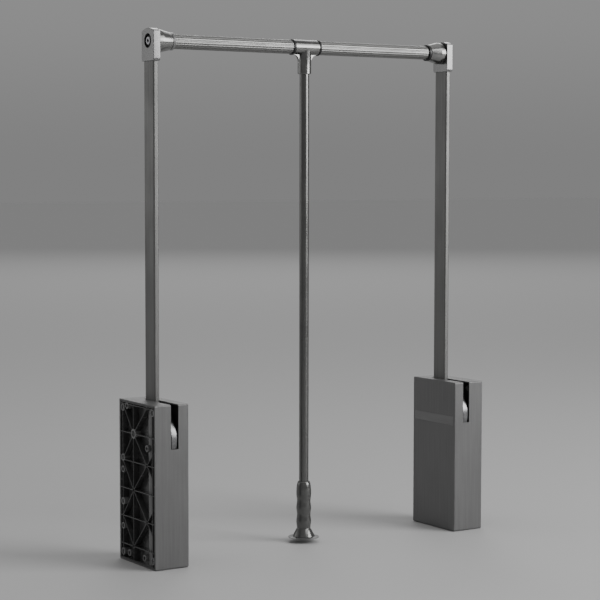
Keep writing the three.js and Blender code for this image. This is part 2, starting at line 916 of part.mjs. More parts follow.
function headBracket() {
  const bottom = railHeight - headDrop;
  const front = pivotBack - headDepth / 2;
  const back = pivotBack + headDepth / 2;
  const archRadius = ((headDepth / 2) ** 2 + headArchRise ** 2) / (2 * headArchRise);
  const archHalf = THREE.MathUtils.radToDeg(Math.asin(headDepth / 2 / archRadius));
  const outline = [
    ...arcPoints(pivotBack, overallHeight - archRadius, archRadius, 90 - archHalf, 90 + archHalf, domeFacets),
    new THREE.Vector2(front, bottom + headTaperHeight),
    new THREE.Vector2(front + headTaper, bottom),
    new THREE.Vector2(back - headTaper, bottom),
    new THREE.Vector2(back, bottom + headTaperHeight),
  ];
  const block = alongX(outline, headOuterInset, headInnerInset, [], headEdgeRound);
  const socket = alongZ(armOutline(-runningClearance), bottom - cutOverrun, armTopHeight + seatGap);
  return cut(
    block,
    socket,
    rodX(
      boltRecessRadius,
      headOuterInset - cutOverrun,
      headOuterInset + boltRecessDepth,
      pivotBack,
      railHeight,
    ),
    rodX(
      boreRadius(boltShankRadius, runningClearance, shaftFacets),
      headOuterInset,
      headInnerInset + cutOverrun,
      pivotBack,
      railHeight,
    ),
  );
}

function headBolt() {
  const seat = headOuterInset + boltRecessDepth;
  const top = seat - boltHeadHeight;
  const profile = profileOf(
    [0, top],
    [boltHeadRadius - boltChamfer, top],
    [boltHeadRadius, top + boltChamfer],
    [boltHeadRadius, seat],
    [boltShankRadius, seat],
    [boltShankRadius, seat + boltLength - boltChamfer],
    [boltShankRadius - boltChamfer, seat + boltLength],
    [0, seat + boltLength],
  );
  const keyRadius = boltKeyAcross / 2 / Math.cos(Math.PI / 6);
  const key = rodX(keyRadius, top - cutOverrun, top + boltKeyDepth, pivotBack, railHeight, 6);
  return cut(turnedX(profile, pivotBack, railHeight), key);
}

const railBore = boreRadius(railRadius, runningClearance, railFacets);
const cupRingStart = cupMouthInset - cupRingLip;
const ringSleeveRadius = railBore + cupRingWall;

// A turned cup: straight next to the bracket, then a cone that narrows to the rail
function railCup() {
  const coneEnd = cupRingStart - seatGap;
  const sleeveBore = boreRadius(ringSleeveRadius, runningClearance, railFacets);
  const sleeveSeat = cupRingStart - cupRingSleeve - seatGap;
  const boltBore = boreRadius(boltShankRadius, runningClearance, railFacets);
  const profile = profileOf(
    [boltBore, headInnerInset],
    [cupBackRadius - cupEdgeRound, headInnerInset],
    [cupBackRadius, headInnerInset + cupEdgeRound],
    [cupBackRadius, headInnerInset + cupShoulder],
    [cupMouthRadius, coneEnd],
    [sleeveBore, coneEnd],
    [sleeveBore, sleeveSeat],
    [railBore, sleeveSeat],
    [railBore, headInnerInset + cupFloor],
    [boltBore, headInnerInset + cupFloor],
    [boltBore, headInnerInset],
  );
  return turnedX(profile, pivotBack, railHeight, railFacets);
}

function cupRing() {
  const profile = profileOf(
    [railBore, cupRingStart - cupRingSleeve],
    [ringSleeveRadius, cupRingStart - cupRingSleeve],
    [ringSleeveRadius, cupRingStart],
    [cupRingRadius, cupRingStart],
    [cupRingRadius, cupMouthInset - ringEdgeRound],
    [cupRingRadius - ringEdgeRound, cupMouthInset],
    [railBore, cupMouthInset],
    [railBore, cupRingStart - cupRingSleeve],
  );
  return turnedX(profile, pivotBack, railHeight, railFacets);
}

// Rail

const railInnerEndInset = railEndX - teeHalfLength - stopRingWidth - 2 * seatGap;

// The fluted outer tube: round crests with shallow flutes between them
function railTube() {
  const outline = [];
  const steps = fluteCount * fluteSteps;
  for (let step = 0; step < steps; step += 1) {
    const angle = (2 * Math.PI * step) / steps;
    const dip = (step % fluteSteps) / fluteSteps;
    const depth = dip > fluteLandShare ? fluteDepth : 0;
    outline.push(
      new THREE.Vector2(
        pivotBack + (railRadius - depth) * Math.cos(angle),
        railHeight + (railRadius - depth) * Math.sin(angle),
      ),
    );
  }
  const bore = circlePoints(pivotBack, railHeight, railRadius - railWall, railFacets);
  return alongX(outline, railSeatInset, railInnerEndInset, [bore]);
}

// Pieces at the middle of the rail, with X counted from the middle

function coreTube() {
  return alongX(
    circlePoints(pivotBack, railHeight, coreRadius, railFacets),
    -coreHalfLength,
    coreHalfLength,
    [circlePoints(pivotBack, railHeight, coreRadius - coreWall, railFacets)],
  );
}

const coreBore = boreRadius(coreRadius, runningClearance, railFacets);

function stopRing() {
  const low = teeHalfLength + seatGap;
  const high = low + stopRingWidth;
  const profile = profileOf(
    [coreBore, low],
    [stopRingRadius - ringEdgeRound, low],
    [stopRingRadius, low + ringEdgeRound],
    [stopRingRadius, high - ringEdgeRound],
    [stopRingRadius - ringEdgeRound, high],
    [coreBore, high],
    [coreBore, low],
  );
  return turnedX(profile, pivotBack, railHeight, railFacets);
}

const teeRadius = coreBore + teeWall;
const rodTopHeight = railHeight - rodSocketDrop;

// A sleeve on the rail and a stem for the rod, with a curved fin in each corner
function teeConnector() {
  const stemBottom = railHeight - teeStemDrop;
  const sleeveProfile = profileOf(
    [0, -teeHalfLength],
    [teeRadius - teeEdgeRound, -teeHalfLength],
    [teeRadius, teeEdgeRound - teeHalfLength],
    [teeRadius, teeHalfLength - teeEdgeRound],
    [teeRadius - teeEdgeRound, teeHalfLength],
    [0, teeHalfLength],
  );
  const stemProfile = profileOf(
    [0, stemBottom],
    [teeStemRadius - teeEdgeRound, stemBottom],
    [teeStemRadius, stemBottom + teeEdgeRound],
    [teeStemRadius, railHeight],
    [0, railHeight],
  );
  const finCentreX = teeStemRadius + teeFinReach;
  const finCentreZ = railHeight - teeRadius - teeFinDrop;
  const stretch = (point) =>
    new THREE.Vector2(point.x * teeFinReach, finCentreZ + point.y * teeFinDrop);
  const quarter = arcPoints(0, 0, 1, 90, 180, domeFacets / 2).map(stretch);
  const finOutline = [
    ...quarter.map((point) => new THREE.Vector2(finCentreX + point.x, point.y)),
    ...quarter.reverse().map((point) => new THREE.Vector2(-finCentreX - point.x, point.y)),
    new THREE.Vector2(-finCentreX, railHeight),
    new THREE.Vector2(finCentreX, railHeight),
  ];
  const fins = alongY(
    finOutline,
    pivotBack - teeFinThickness / 2,
    pivotBack + teeFinThickness / 2,
  );
  const coreHole = rodX(
    coreBore,
    -teeHalfLength - cutOverrun,
    teeHalfLength + cutOverrun,
    pivotBack,
    railHeight,
    railFacets,
  );
  const rodBore = boreRadius(rodRadius, runningClearance, shaftFacets);
  const rodHole = alongZ(
    circlePoints(0, pivotBack, rodBore, shaftFacets),
    stemBottom - cutOverrun,
    rodTopHeight + seatGap,
  );
  const screwHole = alongY(
    circlePoints(0, teeScrewHeight, boreRadius(teeScrewRadius, runningClearance, smallFacets), smallFacets),
    pivotBack,
    pivotBack + teeStemRadius + cutOverrun,
  );
  return cut(
    join(turnedX(sleeveProfile, pivotBack, railHeight, railFacets), turnedZ(stemProfile, 0, pivotBack), fins),
    coreHole,
    rodHole,
    screwHole,
  );
}

// The grub screw at the back of the stem, tight against the rod
function teeScrew() {
  const tip = pivotBack + rodRadius + seatGap;
  const end = pivotBack + teeStemRadius;
  const keyRadius = teeScrewRadius * screwKeyShare;
  return cut(
    alongY(circlePoints(0, teeScrewHeight, teeScrewRadius, smallFacets), tip, end),
    alongY(circlePoints(0, teeScrewHeight, keyRadius, 6), end - teeScrewRadius / 2, end + cutOverrun),
  );
}

// Pull rod

function pullRod() {
  return alongZ(circlePoints(0, pivotBack, rodRadius, shaftFacets), rodFootHeight, rodTopHeight, [
    circlePoints(0, pivotBack, rodRadius - rodWall, shaftFacets),
  ]);
}

// Outer radius of the grip at a height: a shoulder, three waists and the flare above the foot
function gripRadiusAt(height) {
  const shoulderHeight = gripTopHeight - gripShoulder;
  if (height > shoulderHeight) {
    const along = (height - shoulderHeight) / gripShoulder;
    const neck = rodRadius + gripNeckWall;
    return neck + (gripRadius - neck) * Math.sqrt(1 - along * along);
  }
  const waists = (height - flareStartHeight) / gripWaistPitch;
  if (waists > gripWaistCount - 1 / 2) return gripRadius;
  if (waists >= 0) return gripRadius - (gripWaistDepth * (1 + Math.cos(2 * Math.PI * waists))) / 2;
  const waistRadius = gripRadius - gripWaistDepth;
  const along = (flareStartHeight - height) / (flareStartHeight - gripBottomHeight);
  return waistRadius + (flareRadius - waistRadius) * along ** flarePower;
}

function handGrip() {
  const rodBore = boreRadius(rodRadius, runningClearance, shaftFacets);
  const plugRadius = rodRadius - rodWall - tangFit;
  const plugBore = boreRadius(plugRadius, runningClearance, shaftFacets);
  const outside = [];
  for (let step = 0; step <= gripSteps; step += 1) {
    const height = gripBottomHeight + ((gripTopHeight - gripBottomHeight) * step) / gripSteps;
    outside.push([gripRadiusAt(height), height]);
  }
  const profile = profileOf(
    [plugBore, gripBottomHeight],
    ...outside,
    [rodBore, gripTopHeight],
    [rodBore, rodFootHeight - seatGap],
    [plugBore, rodFootHeight - seatGap],
    [plugBore, gripBottomHeight],
  );
  return turnedZ(profile, 0, pivotBack, gripFacets);
}

// The foot: a disc with a hollow underside that thins towards its rim, and a plug up into the rod
function gripFoot() {
  const plugRadius = rodRadius - rodWall - tangFit;
  const discTop = gripBottomHeight - seatGap;
  const profile = profileOf(
    [0, footHeight + footDish],
    [flareRadius, footHeight + footDish],
    [footRadius - footRimWidth, footHeight],
    [footRadius, footHeight],
    [footRadius, footHeight + footRimThickness],
    [flareRadius, discTop],
    [plugRadius, discTop],
    [plugRadius, footPlugTop - axleChamfer],
    [plugRadius - axleChamfer, footPlugTop],
    [0, footPlugTop],
  );
  return turnedZ(profile, 0, pivotBack, gripFacets);
}

// One side of the lift, with X counted from the wardrobe side inwards
function liftSide(side) {
  const group = new THREE.Group();
  const outerBush = pivotBush(pivotHoleDepth + seatGap, outerFlangeInset, hubInset - seatGap);
  const innerBush = pivotBush(innerBoreInset - seatGap, innerFlangeInset, hubInnerInset + seatGap);
  const parts = [
    ['housing_cover', 'coverMetal', housingCover()],
    ['base_plate', 'blackPlastic', basePlate()],
    ['stop_buffer', 'rubber', stopBuffer()],
    ['outer_bush', 'blackPlastic', outerBush],
    ['inner_bush', 'blackPlastic', innerBush],
    ['spring_tube', 'springSteel', springTube()],
    ['return_spring', 'springSteel', returnSpring()],
    ['plunger', 'castMetal', plunger()],
    ['crank_roller', 'blackPlastic', crankRoller()],
    ['crank_pin', 'brightSteel', crankPin()],
    ['pivot_axle', 'brightSteel', pivotAxle()],
    ['crank_hub', 'brightSteel', crankHub()],
    ['arm_rivet', 'brightSteel', armRivet()],
    ['arm_tube', 'armMetal', armTube()],
    ['head_bracket', 'castMetal', headBracket()],
    ['head_bolt', 'brightSteel', headBolt()],
    ['rail_cup', 'castMetal', railCup()],
    ['cup_ring', 'blackPlastic', cupRing()],
    ['rail_tube', 'railMetal', railTube()],
  ];
  for (const [name, finish, made] of parts) group.add(piece(`${side}_${name}`, finish, made));
  screwPlaces.forEach((place, index) => {
    group.add(piece(`${side}_base_screw_${index + 1}`, 'brightSteel', baseScrew(place)));
  });
  return group;
}

const leftSide = liftSide('left');
leftSide.position.x = -railEndX;
const rightSide = liftSide('right');
rightSide.position.x = railEndX;
rightSide.scale.x = -1;

const middle = new THREE.Group();
middle.add(
  piece('rail_core', 'armMetal', coreTube()),
  piece('right_stop_ring', 'blackPlastic', stopRing()),
  piece('tee_connector', 'castMetal', teeConnector()),
  piece('tee_screw', 'brightSteel', teeScrew()),
  piece('pull_rod', 'railMetal', pullRod()),
  piece('hand_grip', 'gripPlastic', handGrip()),
  piece('grip_foot', 'gripPlastic', gripFoot()),
);
const leftRing = piece('left_stop_ring', 'blackPlastic', stopRing());
leftRing.scale.x = -1;
middle.add(leftRing);

const pullDownRod = new THREE.Group();
pullDownRod.add(leftSide, rightSide, middle);

export default pullDownRod;
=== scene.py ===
import math

import bmesh
import bpy
from mathutils import Matrix, Vector


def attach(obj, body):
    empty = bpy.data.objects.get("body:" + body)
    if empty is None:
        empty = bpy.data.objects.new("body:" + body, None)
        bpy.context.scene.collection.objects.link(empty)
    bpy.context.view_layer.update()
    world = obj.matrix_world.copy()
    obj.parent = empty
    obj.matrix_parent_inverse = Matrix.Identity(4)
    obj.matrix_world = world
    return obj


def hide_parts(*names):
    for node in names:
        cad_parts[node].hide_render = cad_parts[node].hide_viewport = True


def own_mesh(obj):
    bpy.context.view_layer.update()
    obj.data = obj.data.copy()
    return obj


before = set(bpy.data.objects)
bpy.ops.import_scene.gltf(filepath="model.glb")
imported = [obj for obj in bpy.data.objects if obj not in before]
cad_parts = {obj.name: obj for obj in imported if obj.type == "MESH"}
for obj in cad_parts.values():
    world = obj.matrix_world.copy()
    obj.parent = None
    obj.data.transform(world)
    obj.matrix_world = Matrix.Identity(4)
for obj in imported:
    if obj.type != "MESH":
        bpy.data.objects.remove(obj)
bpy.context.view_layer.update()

# View, floor and studio
# The camera stands in front and to the left, a little above the middle of the lift, with a
# long lens. The floor is pale card, and the lights are large soft boxes. This section's places
# and sizes are in metres, and those of the pieces in millimetres.

MM = 0.001
CAMERA_PLACE = (-1.6793, -2.5633, 0.626)
CAMERA_YAW, CAMERA_PITCH, CAMERA_ROLL = 32.971, -4.031, 0.078
LENS, SENSOR_WIDTH, NEAREST = 110.2, 36, 0.05
FLOOR_REACH, FLOOR_LEVEL = 30, -0.0006
WORLD_BELOW, WORLD_ABOVE, WORLD_BLEND = 0.22, 0.28, 0.1
CEILING_POWER, CEILING_SPREAD = 0.42, 60


def colour(code):
    """A hex sRGB colour as the linear RGBA that a shader works with."""
    parts = [int(code[i:i + 2], 16) / 255 for i in (0, 2, 4)]
    return [c / 12.92 if c <= 0.04045 else ((c + 0.055) / 1.055) ** 2.4 for c in parts] + [1.0]


def add(tree, kind, sockets=None, **settings):
    """Adds a node: its own settings, and for each socket a value or the socket that feeds it."""
    made = tree.nodes.new(kind)
    for name, value in settings.items():
        setattr(made, name, value)
    for name, value in (sockets or {}).items():
        if isinstance(value, bpy.types.NodeSocket):
            tree.links.new(value, made.inputs[name])
        else:
            made.inputs[name].default_value = value
    return made


def link(name, data):
    """A new object for a mesh, a camera or a light."""
    made = bpy.data.objects.new(name, data)
    bpy.context.scene.collection.objects.link(made)
    return made


def soft_box(name, place, aim, width, height, power):
    """A rectangular soft light at a place, turned to its aim."""
    data = bpy.data.lights.new(name, "AREA")
    data.shape = "RECTANGLE"
    data.size = width
    data.size_y = height
    data.energy = power
    lamp = link(name, data)
    lamp.visible_camera = False
    lamp.location = place
    lamp.rotation_euler = (Vector(aim) - Vector(place)).to_track_quat("-Z", "Y").to_euler()


camera_data = bpy.data.cameras.new("camera")
camera_data.lens = LENS
camera_data.sensor_width = SENSOR_WIDTH
camera_data.clip_start = NEAREST
camera = link("camera", camera_data)
camera.matrix_world = (Matrix.Translation(CAMERA_PLACE)
                       @ Matrix.Rotation(math.radians(-CAMERA_YAW), 4, "Z")
                       @ Matrix.Rotation(math.radians(90 + CAMERA_PITCH), 4, "X")
                       @ Matrix.Rotation(math.radians(CAMERA_ROLL), 4, "Z"))
bpy.context.scene.camera = camera

card = bpy.data.materials.new("pale floor card")
card.use_nodes = True
card_shader = card.node_tree.nodes["Principled BSDF"]
card_shader.inputs["Base Color"].default_value = colour("b9b9b9")
card_shader.inputs["Roughness"].default_value = 0.8
floor_mesh = bpy.data.meshes.new("floor")
floor_mesh.from_pydata([(x * FLOOR_REACH, y * FLOOR_REACH, FLOOR_LEVEL)
                        for x, y in ((-1, -1), (1, -1), (1, 1), (-1, 1))], [], [(0, 1, 2, 3)])
floor_mesh.materials.append(card)
floor = link("floor", floor_mesh)

world = bpy.data.worlds.new("studio")
world.use_nodes = True
world_tree = world.node_tree
world_place = add(world_tree, "ShaderNodeTexCoord").outputs["Generated"]
world_height = add(world_tree, "ShaderNodeSeparateXYZ", {"Vector": world_place}).outputs["Z"]
world_rise = add(world_tree, "ShaderNodeMapRange", {
    "Value": world_height, "From Max": WORLD_BLEND, "To Min": WORLD_BELOW,
    "To Max": WORLD_ABOVE}, interpolation_type="SMOOTHSTEP").outputs["Result"]
world_tree.links.new(world_rise, world_tree.nodes["Background"].inputs["Strength"])
world_tree.nodes["Background"].inputs["Color"].default_value = colour("ffffff")
bpy.context.scene.world = world

soft_box("front right box", (1.95, -2.3, 1.4), (0.1, 0, 0.5), 1.9, 1.6, 78)
soft_box("high front box", (0.95, -1.9, 2.4), (0, 0, 0.6), 1.9, 0.8, 14)
soft_box("high right box", (1.5, 1.2, 2.6), (0, 0, 0.83), 1.6, 1.0, 4)
soft_box("back left box", (-2.3, 2.6, 1.0), (0, 0, 0.45), 1.2, 1.3, 5.7)
soft_box("left box", (-2.7, 0.85, 1.1), (0, 0, 0.45), 1.8, 1.4, 2.6)
soft_box("back right box", (5.0, 7.8, 5.0), (0, 0, 0.3), 4.0, 2.5, 120)
ceiling = bpy.data.lights.new("wide ceiling light", "SUN")
ceiling.energy = CEILING_POWER
ceiling.angle = math.radians(CEILING_SPREAD)
link("wide ceiling light", ceiling)

# Housing covers
# Each side's mechanism sits in a deep drawn steel cover. It is lacquered grey over a vertical
# brushed grain, with a slot for the arm in its front and top, and rounded outer edges.

SIDES = (("left", -1), ("right", 1))
ALONG_RAIL, BACKWARD, UPWARD = 0, 1, 2
MERGE_METRES, FLAT_DEGREES = 2e-6, 0.5
NOISE_LOW, NOISE_HIGH, NOISE_ROUGHNESS = 0.3, 0.7, 0.55
CLOUD_WIDTH, CLOUD_LENGTH = 40, 70
GRAIN_DEPTH, GRAIN_STRENGTH = 0.02, 0.35


def settle(piece):
    """Turns a piece's modifiers into plain mesh."""
    graph = bpy.context.evaluated_depsgraph_get()
    graph.update()
    mesh = bpy.data.meshes.new_from_object(piece.evaluated_get(graph))
    piece.modifiers.clear()
    piece.data = mesh
    return piece


def soften(piece, degrees=40, bevel=0.0, segments=2):
    """Rounds a piece's sharp edges by a bevel in millimetres and shades the rest smooth."""
    if bevel:
        rounding = piece.modifiers.new("rounding", "BEVEL")
        rounding.width = bevel * MM
        rounding.segments = segments
        rounding.limit_method = "ANGLE"
        rounding.angle_limit = math.radians(degrees)
        rounding.use_clamp_overlap = True
        rounding.harden_normals = False
        settle(piece)
    piece.data.shade_smooth()
    piece.data.set_sharp_from_angle(angle=math.radians(degrees))
    weighting = piece.modifiers.new("weighting", "WEIGHTED_NORMAL")
    weighting.keep_sharp = True
    return settle(piece)


def dressed_copy(node, name, degrees=40):
    """A merged copy of a modelled solid, shaded smooth over its small facets."""
    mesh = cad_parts[node].data.copy()
    made = bmesh.new()
    made.from_mesh(mesh)
    bmesh.ops.remove_doubles(made, verts=made.verts, dist=MERGE_METRES)
    bmesh.ops.dissolve_limit(made, angle_limit=math.radians(FLAT_DEGREES), verts=made.verts,
                             edges=made.edges)
    made.to_mesh(mesh)
    made.free()
    fresh = bpy.data.meshes.new(name)
    fresh.from_pydata([v.co[:] for v in mesh.vertices], [], [p.vertices[:] for p in mesh.polygons])
    bpy.data.meshes.remove(mesh)
    return soften(link(name, fresh), degrees)


def fit(piece, body, material, nodes=()):
    """Gives a finished piece its material and lets it ride in place of the solids it shows."""
    piece.data.materials.clear()
    piece.data.materials.append(material)
    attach(piece, body)
    if nodes:
        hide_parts(*nodes)


def new_material(name):
    """An empty shader tree with its Principled node and the piece's own coordinates."""
    made = bpy.data.materials.new(name)
    made.use_nodes = True
    tree = made.node_tree
    shader = tree.nodes["Principled BSDF"]
    place = add(tree, "ShaderNodeTexCoord").outputs["Object"]
    return made, tree, shader, place


def streaks(tree, place, width, length, axis, detail=3):
    """Noise drawn out along one axis: grain lines, their width and length in millimetres."""
    scale = [1 / (width * MM)] * 3
    scale[axis] = 1 / (length * MM)
    stretched = add(tree, "ShaderNodeMapping", {"Vector": place, "Scale": scale})
    return add(tree, "ShaderNodeTexNoise", {
        "Vector": stretched.outputs["Vector"], "Scale": 1.0, "Detail": detail,
        "Roughness": NOISE_ROUGHNESS}).outputs["Fac"]


def spread(tree, value, low, high):
    """A noise, spread between two numbers."""
    return add(tree, "ShaderNodeMapRange", {
        "Value": value, "From Min": NOISE_LOW, "From Max": NOISE_HIGH, "To Min": low,
        "To Max": high}).outputs["Result"]


def tint(tree, value, dark, light):
    """A noise, as a mix of two colours."""
    mixed = add(tree, "ShaderNodeMix", data_type="RGBA")
    even = spread(tree, value, 0.0, 1.0)
    tree.links.new(even, mixed.inputs["Factor"])
    # The node's colour sockets come after those for numbers and vectors.
    mixed.inputs[6].default_value = colour(dark)
    mixed.inputs[7].default_value = colour(light)
    return mixed.outputs[2]


def relief(tree, height, depth, strength=1.0):
    """A bump from a 0 to 1 height, its depth in millimetres."""
    return add(tree, "ShaderNodeBump", {"Height": height, "Distance": depth * MM,
                                        "Strength": strength}).outputs["Normal"]


def brushed_metal(name, dark, light, rough, axis, width=2.2, length=90, metallic=0.9):
    """Lacquered metal with a straight brushed grain; the spacing is coarser than the real
    half millimetre, so that it shows from a step away."""
    made, tree, shader, place = new_material(name)
    grain = streaks(tree, place, width, length, axis)
    fine = streaks(tree, place, width / 4, length / 2, axis, detail=2)
    cloud = streaks(tree, place, CLOUD_WIDTH, CLOUD_LENGTH, axis, detail=1)
    tree.links.new(tint(tree, grain, dark, light), shader.inputs["Base Color"])
    blend = add(tree, "ShaderNodeMath", {0: fine, 1: cloud}, operation="MULTIPLY").outputs[0]
    doubled = add(tree, "ShaderNodeMath", {0: blend, 1: 2.0}, operation="MULTIPLY").outputs[0]
    tree.links.new(spread(tree, doubled, rough - 0.05, rough + 0.08), shader.inputs["Roughness"])
    tree.links.new(relief(tree, fine, GRAIN_DEPTH, GRAIN_STRENGTH), shader.inputs["Normal"])
    shader.inputs["Metallic"].default_value = metallic
    return made


cover_metal = brushed_metal("brushed lacquered steel", "6a6a6a", "727272", 0.42, UPWARD,
                            metallic=0.62)
for side, sign in SIDES:
    cover = dressed_copy(side + "_housing_cover", side + "_cover")
    fit(cover, side + "_gearbox", cover_metal, [side + "_housing_cover"])

# Plain bands
# A shallow band is pressed across the inner face of each cover, and a thin satin strip lies in
# it. The strip is bare.

HALF_WIDTH = 324
BAND_UNDERSIDE, BAND_FACE = 59.63, 59.88
BAND_REACH, BAND_LOW, BAND_HIGH, BAND_ROUNDING = 55.6, 185.4, 200.6, 0.05


def across(sign, inset):
    """Where a distance in from one wardrobe wall lies along the rail, in millimetres."""
    return sign * (HALF_WIDTH - inset)


def boxed(low, high):
    """The corners and faces of a closed box between two corners."""
    (x0, y0, z0), (x1, y1, z1) = low, high
    corners = [(x, y, z) for x in (x0, x1) for y in (y0, y1) for z in (z0, z1)]
    faces = [(0, 1, 3, 2), (4, 6, 7, 5), (0, 4, 5, 1), (2, 3, 7, 6), (0, 2, 6, 4), (1, 5, 7, 3)]
    return corners, faces


def made_of(name, *shapes):
    """One piece from closed shapes given in millimetres, with all faces outwards."""
    made = bmesh.new()
    for corners, faces in shapes:
        verts = [made.verts.new([c * MM for c in corner]) for corner in corners]
        for face in faces:
            made.faces.new([verts[i] for i in face])
    bmesh.ops.recalc_face_normals(made, faces=made.faces)
    mesh = bpy.data.meshes.new(name)
    made.to_mesh(mesh)
    made.free()
    return link(name, mesh)


band_strip = brushed_metal("satin strip", "787878", "808080", 0.5, BACKWARD, metallic=0.55)
for side, sign in SIDES:
    strip = made_of(side + "_band", boxed((across(sign, BAND_FACE), -BAND_REACH, BAND_LOW),
                                          (across(sign, BAND_UNDERSIDE), BAND_REACH, BAND_HIGH)))
    fit(soften(strip, bevel=BAND_ROUNDING, segments=1), side + "_gearbox",
        band_strip)

# Base plates
# The side that lies on the wardrobe's wall is a black glass-filled nylon moulding: a floor sunk
# 10 mm behind its frame, stiffened by a net of thin ribs, with round sockets for screws and a
# round-backed tunnel for the spring. The tunnel's back and the sockets' rings take a lighter
# grey copy of the nylon, a painted highlight.

FRONT_COLUMN, SPRING_COLUMN, PIVOT_COLUMN, BACK_COLUMN = -50, -32, 13, 49
STAR_ROWS = (208, 117.4, 26.8)
CROSS_ROWS = (253.3, 162.7, 72.1)
BASE_LOW, BASE_HIGH = (-57.7, 2.3), (57.7, 257.7)
FRAME_WALL, FRAME_LAP, FLOOR_LAP = 2, 1, 0.5
RIB_DEPTH, BASE_FLOOR = 10, 12.5
RIB_THICKNESS, RIB_ROUNDING, RIB_STEP = 1.5, 0.3, 0.1
STAR_CROSSING, PLAIN_CROSSING, CROSSING_EDGE = 4, 2.8, 0.4
CROSSING_TOP, CROSSING_SIDE, CROSSING_FOOT = 0.05, 0.5, 11
SPRING_INSET = 18.5
TUNNEL_OUTER, TUNNEL_INNER, TUNNEL_TURN, TUNNEL_STEPS = 13.5, 11.6, 66, 28
SCREWS = ((BACK_COLUMN, 13), (BACK_COLUMN, 94.9), (BACK_COLUMN, 165.88), (BACK_COLUMN, 247),
          (FRONT_COLUMN, 14.04), (FRONT_COLUMN, 248.04))
SOCKETS = ((BACK_COLUMN, 55), (BACK_COLUMN, 146.9), (-22.8, 14), (28.2, 14), (34.8, 251),
           (SPRING_COLUMN, 190))
# Rings of the base: outer and inner radius, and both ends as distances in from the wall
SOCKET_RING, SCREW_RING = (5.4, 3.4, 0, 11), (6.0, 4.1, 0, 11)
PIVOT_RINGS = ((8, 5, 0, BASE_FLOOR), (9, 6.85, 12, 17.4))


def turned(profile, centre, axis="X", steps=48):
    """A turned shape: profile points are radius and distance along the axis. A profile whose
    ends lie on the axis closes there, and any other is a ring."""
    corners, faces, rings = [], [], []
    for radius, along in profile:
        count = 1 if radius == 0 else steps
        rings.append((len(corners), count))
        for i in range(count):
            a = 2 * math.pi * i / steps
            u, v = centre[0] + radius * math.cos(a), centre[1] + radius * math.sin(a)
            corners.append((along, u, v) if axis == "X" else (u, v, along))
    pairs = list(zip(rings, rings[1:]))
    if profile[0][0] or profile[-1][0]:
        pairs.append((rings[-1], rings[0]))
    for (low, low_count), (high, high_count) in pairs:
        for i in range(steps):
            j = (i + 1) % steps
            loop = list(dict.fromkeys([low + i % low_count, low + j % low_count,
                                       high + j % high_count, high + i % high_count]))
            if len(loop) > 2:
                faces.append(loop)
    return corners, faces


def from_wall(sign, profile):
    """A profile of radius and distance in from the wall, placed along the rail."""
    return [(radius, across(sign, inset)) for radius, inset in profile]


def tube_profile(outer, inner, low, high, edge=0.3):
    """The outline of a ring with small chamfers at its outer edges."""
    lean = math.copysign(edge, high - low)
    return [(inner, low), (outer - edge, low), (outer, low + lean), (outer, high - lean),
            (outer - edge, high), (inner, high)]


def grower(name, sockets):
    """An empty geometry tree with a Geometry input and output and the named inputs."""
    tree = bpy.data.node_groups.new(name, "GeometryNodeTree")
    tree.interface.new_socket("Geometry", in_out="INPUT", socket_type="NodeSocketGeometry")
    for label, kind in sockets:
        tree.interface.new_socket(label, in_out="INPUT", socket_type="NodeSocket" + kind)
    tree.interface.new_socket("Geometry", in_out="OUTPUT", socket_type="NodeSocketGeometry")
    return tree, add(tree, "NodeGroupInput").outputs


def close_tree(tree, inputs, geometry):
    """Ends a tree: instances made real, then the material."""
    real = add(tree, "GeometryNodeRealizeInstances", {"Geometry": geometry}).outputs["Geometry"]
    painted = add(tree, "GeometryNodeSetMaterial", {"Geometry": real,
                                                    "Material": inputs["Material"]})
    add(tree, "NodeGroupOutput", {"Geometry": painted.outputs["Geometry"]})


def grow(piece, tree, **values):
    """Runs a geometry tree on a piece with its named inputs, and keeps the result as its mesh."""
    growing = piece.modifiers.new("growing", "NODES")
    growing.node_group = tree
    for item in tree.interface.items_tree:
        if item.in_out == "INPUT" and item.name in values:
            growing[item.identifier] = values[item.name]
    return settle(piece)


rib_tree, ribs_in = grower("ribs along the lines", (("Depth", "Float"), ("Thickness", "Float"),
                                                     ("Material", "Material")))
ends = add(rib_tree, "GeometryNodeInputMeshEdgeVertices").outputs
run = add(rib_tree, "ShaderNodeVectorMath", {0: ends["Position 2"], 1: ends["Position 1"]},
          operation="SUBTRACT").outputs["Vector"]
kept = add(rib_tree, "GeometryNodeStoreNamedAttribute", {
    "Geometry": ribs_in["Geometry"], "Name": "run"}, data_type="FLOAT_VECTOR", domain="EDGE")
rib_tree.links.new(run, kept.inputs["Value"])
middles = add(rib_tree, "GeometryNodeMeshToPoints", {"Mesh": kept.outputs["Geometry"]},
              mode="EDGES")
along_rib = add(rib_tree, "GeometryNodeInputNamedAttribute", {"Name": "run"},
                data_type="FLOAT_VECTOR").outputs["Attribute"]
rib_length = add(rib_tree, "ShaderNodeVectorMath", {0: along_rib},
                 operation="LENGTH").outputs["Value"]
rib_turn = add(rib_tree, "FunctionNodeAlignRotationToVector", {"Vector": along_rib}, axis="Z",
               pivot_axis="X").outputs["Rotation"]
rib_size = add(rib_tree, "ShaderNodeCombineXYZ", {
    "X": ribs_in["Depth"], "Y": ribs_in["Thickness"], "Z": rib_length}).outputs["Vector"]
unit = add(rib_tree, "GeometryNodeMeshCube", {"Size": (1, 1, 1)}).outputs["Mesh"]
rib_set = add(rib_tree, "GeometryNodeInstanceOnPoints", {
    "Points": middles.outputs["Points"], "Instance": unit, "Rotation": rib_turn,
    "Scale": rib_size}).outputs["Instances"]
close_tree(rib_tree, ribs_in, rib_set)


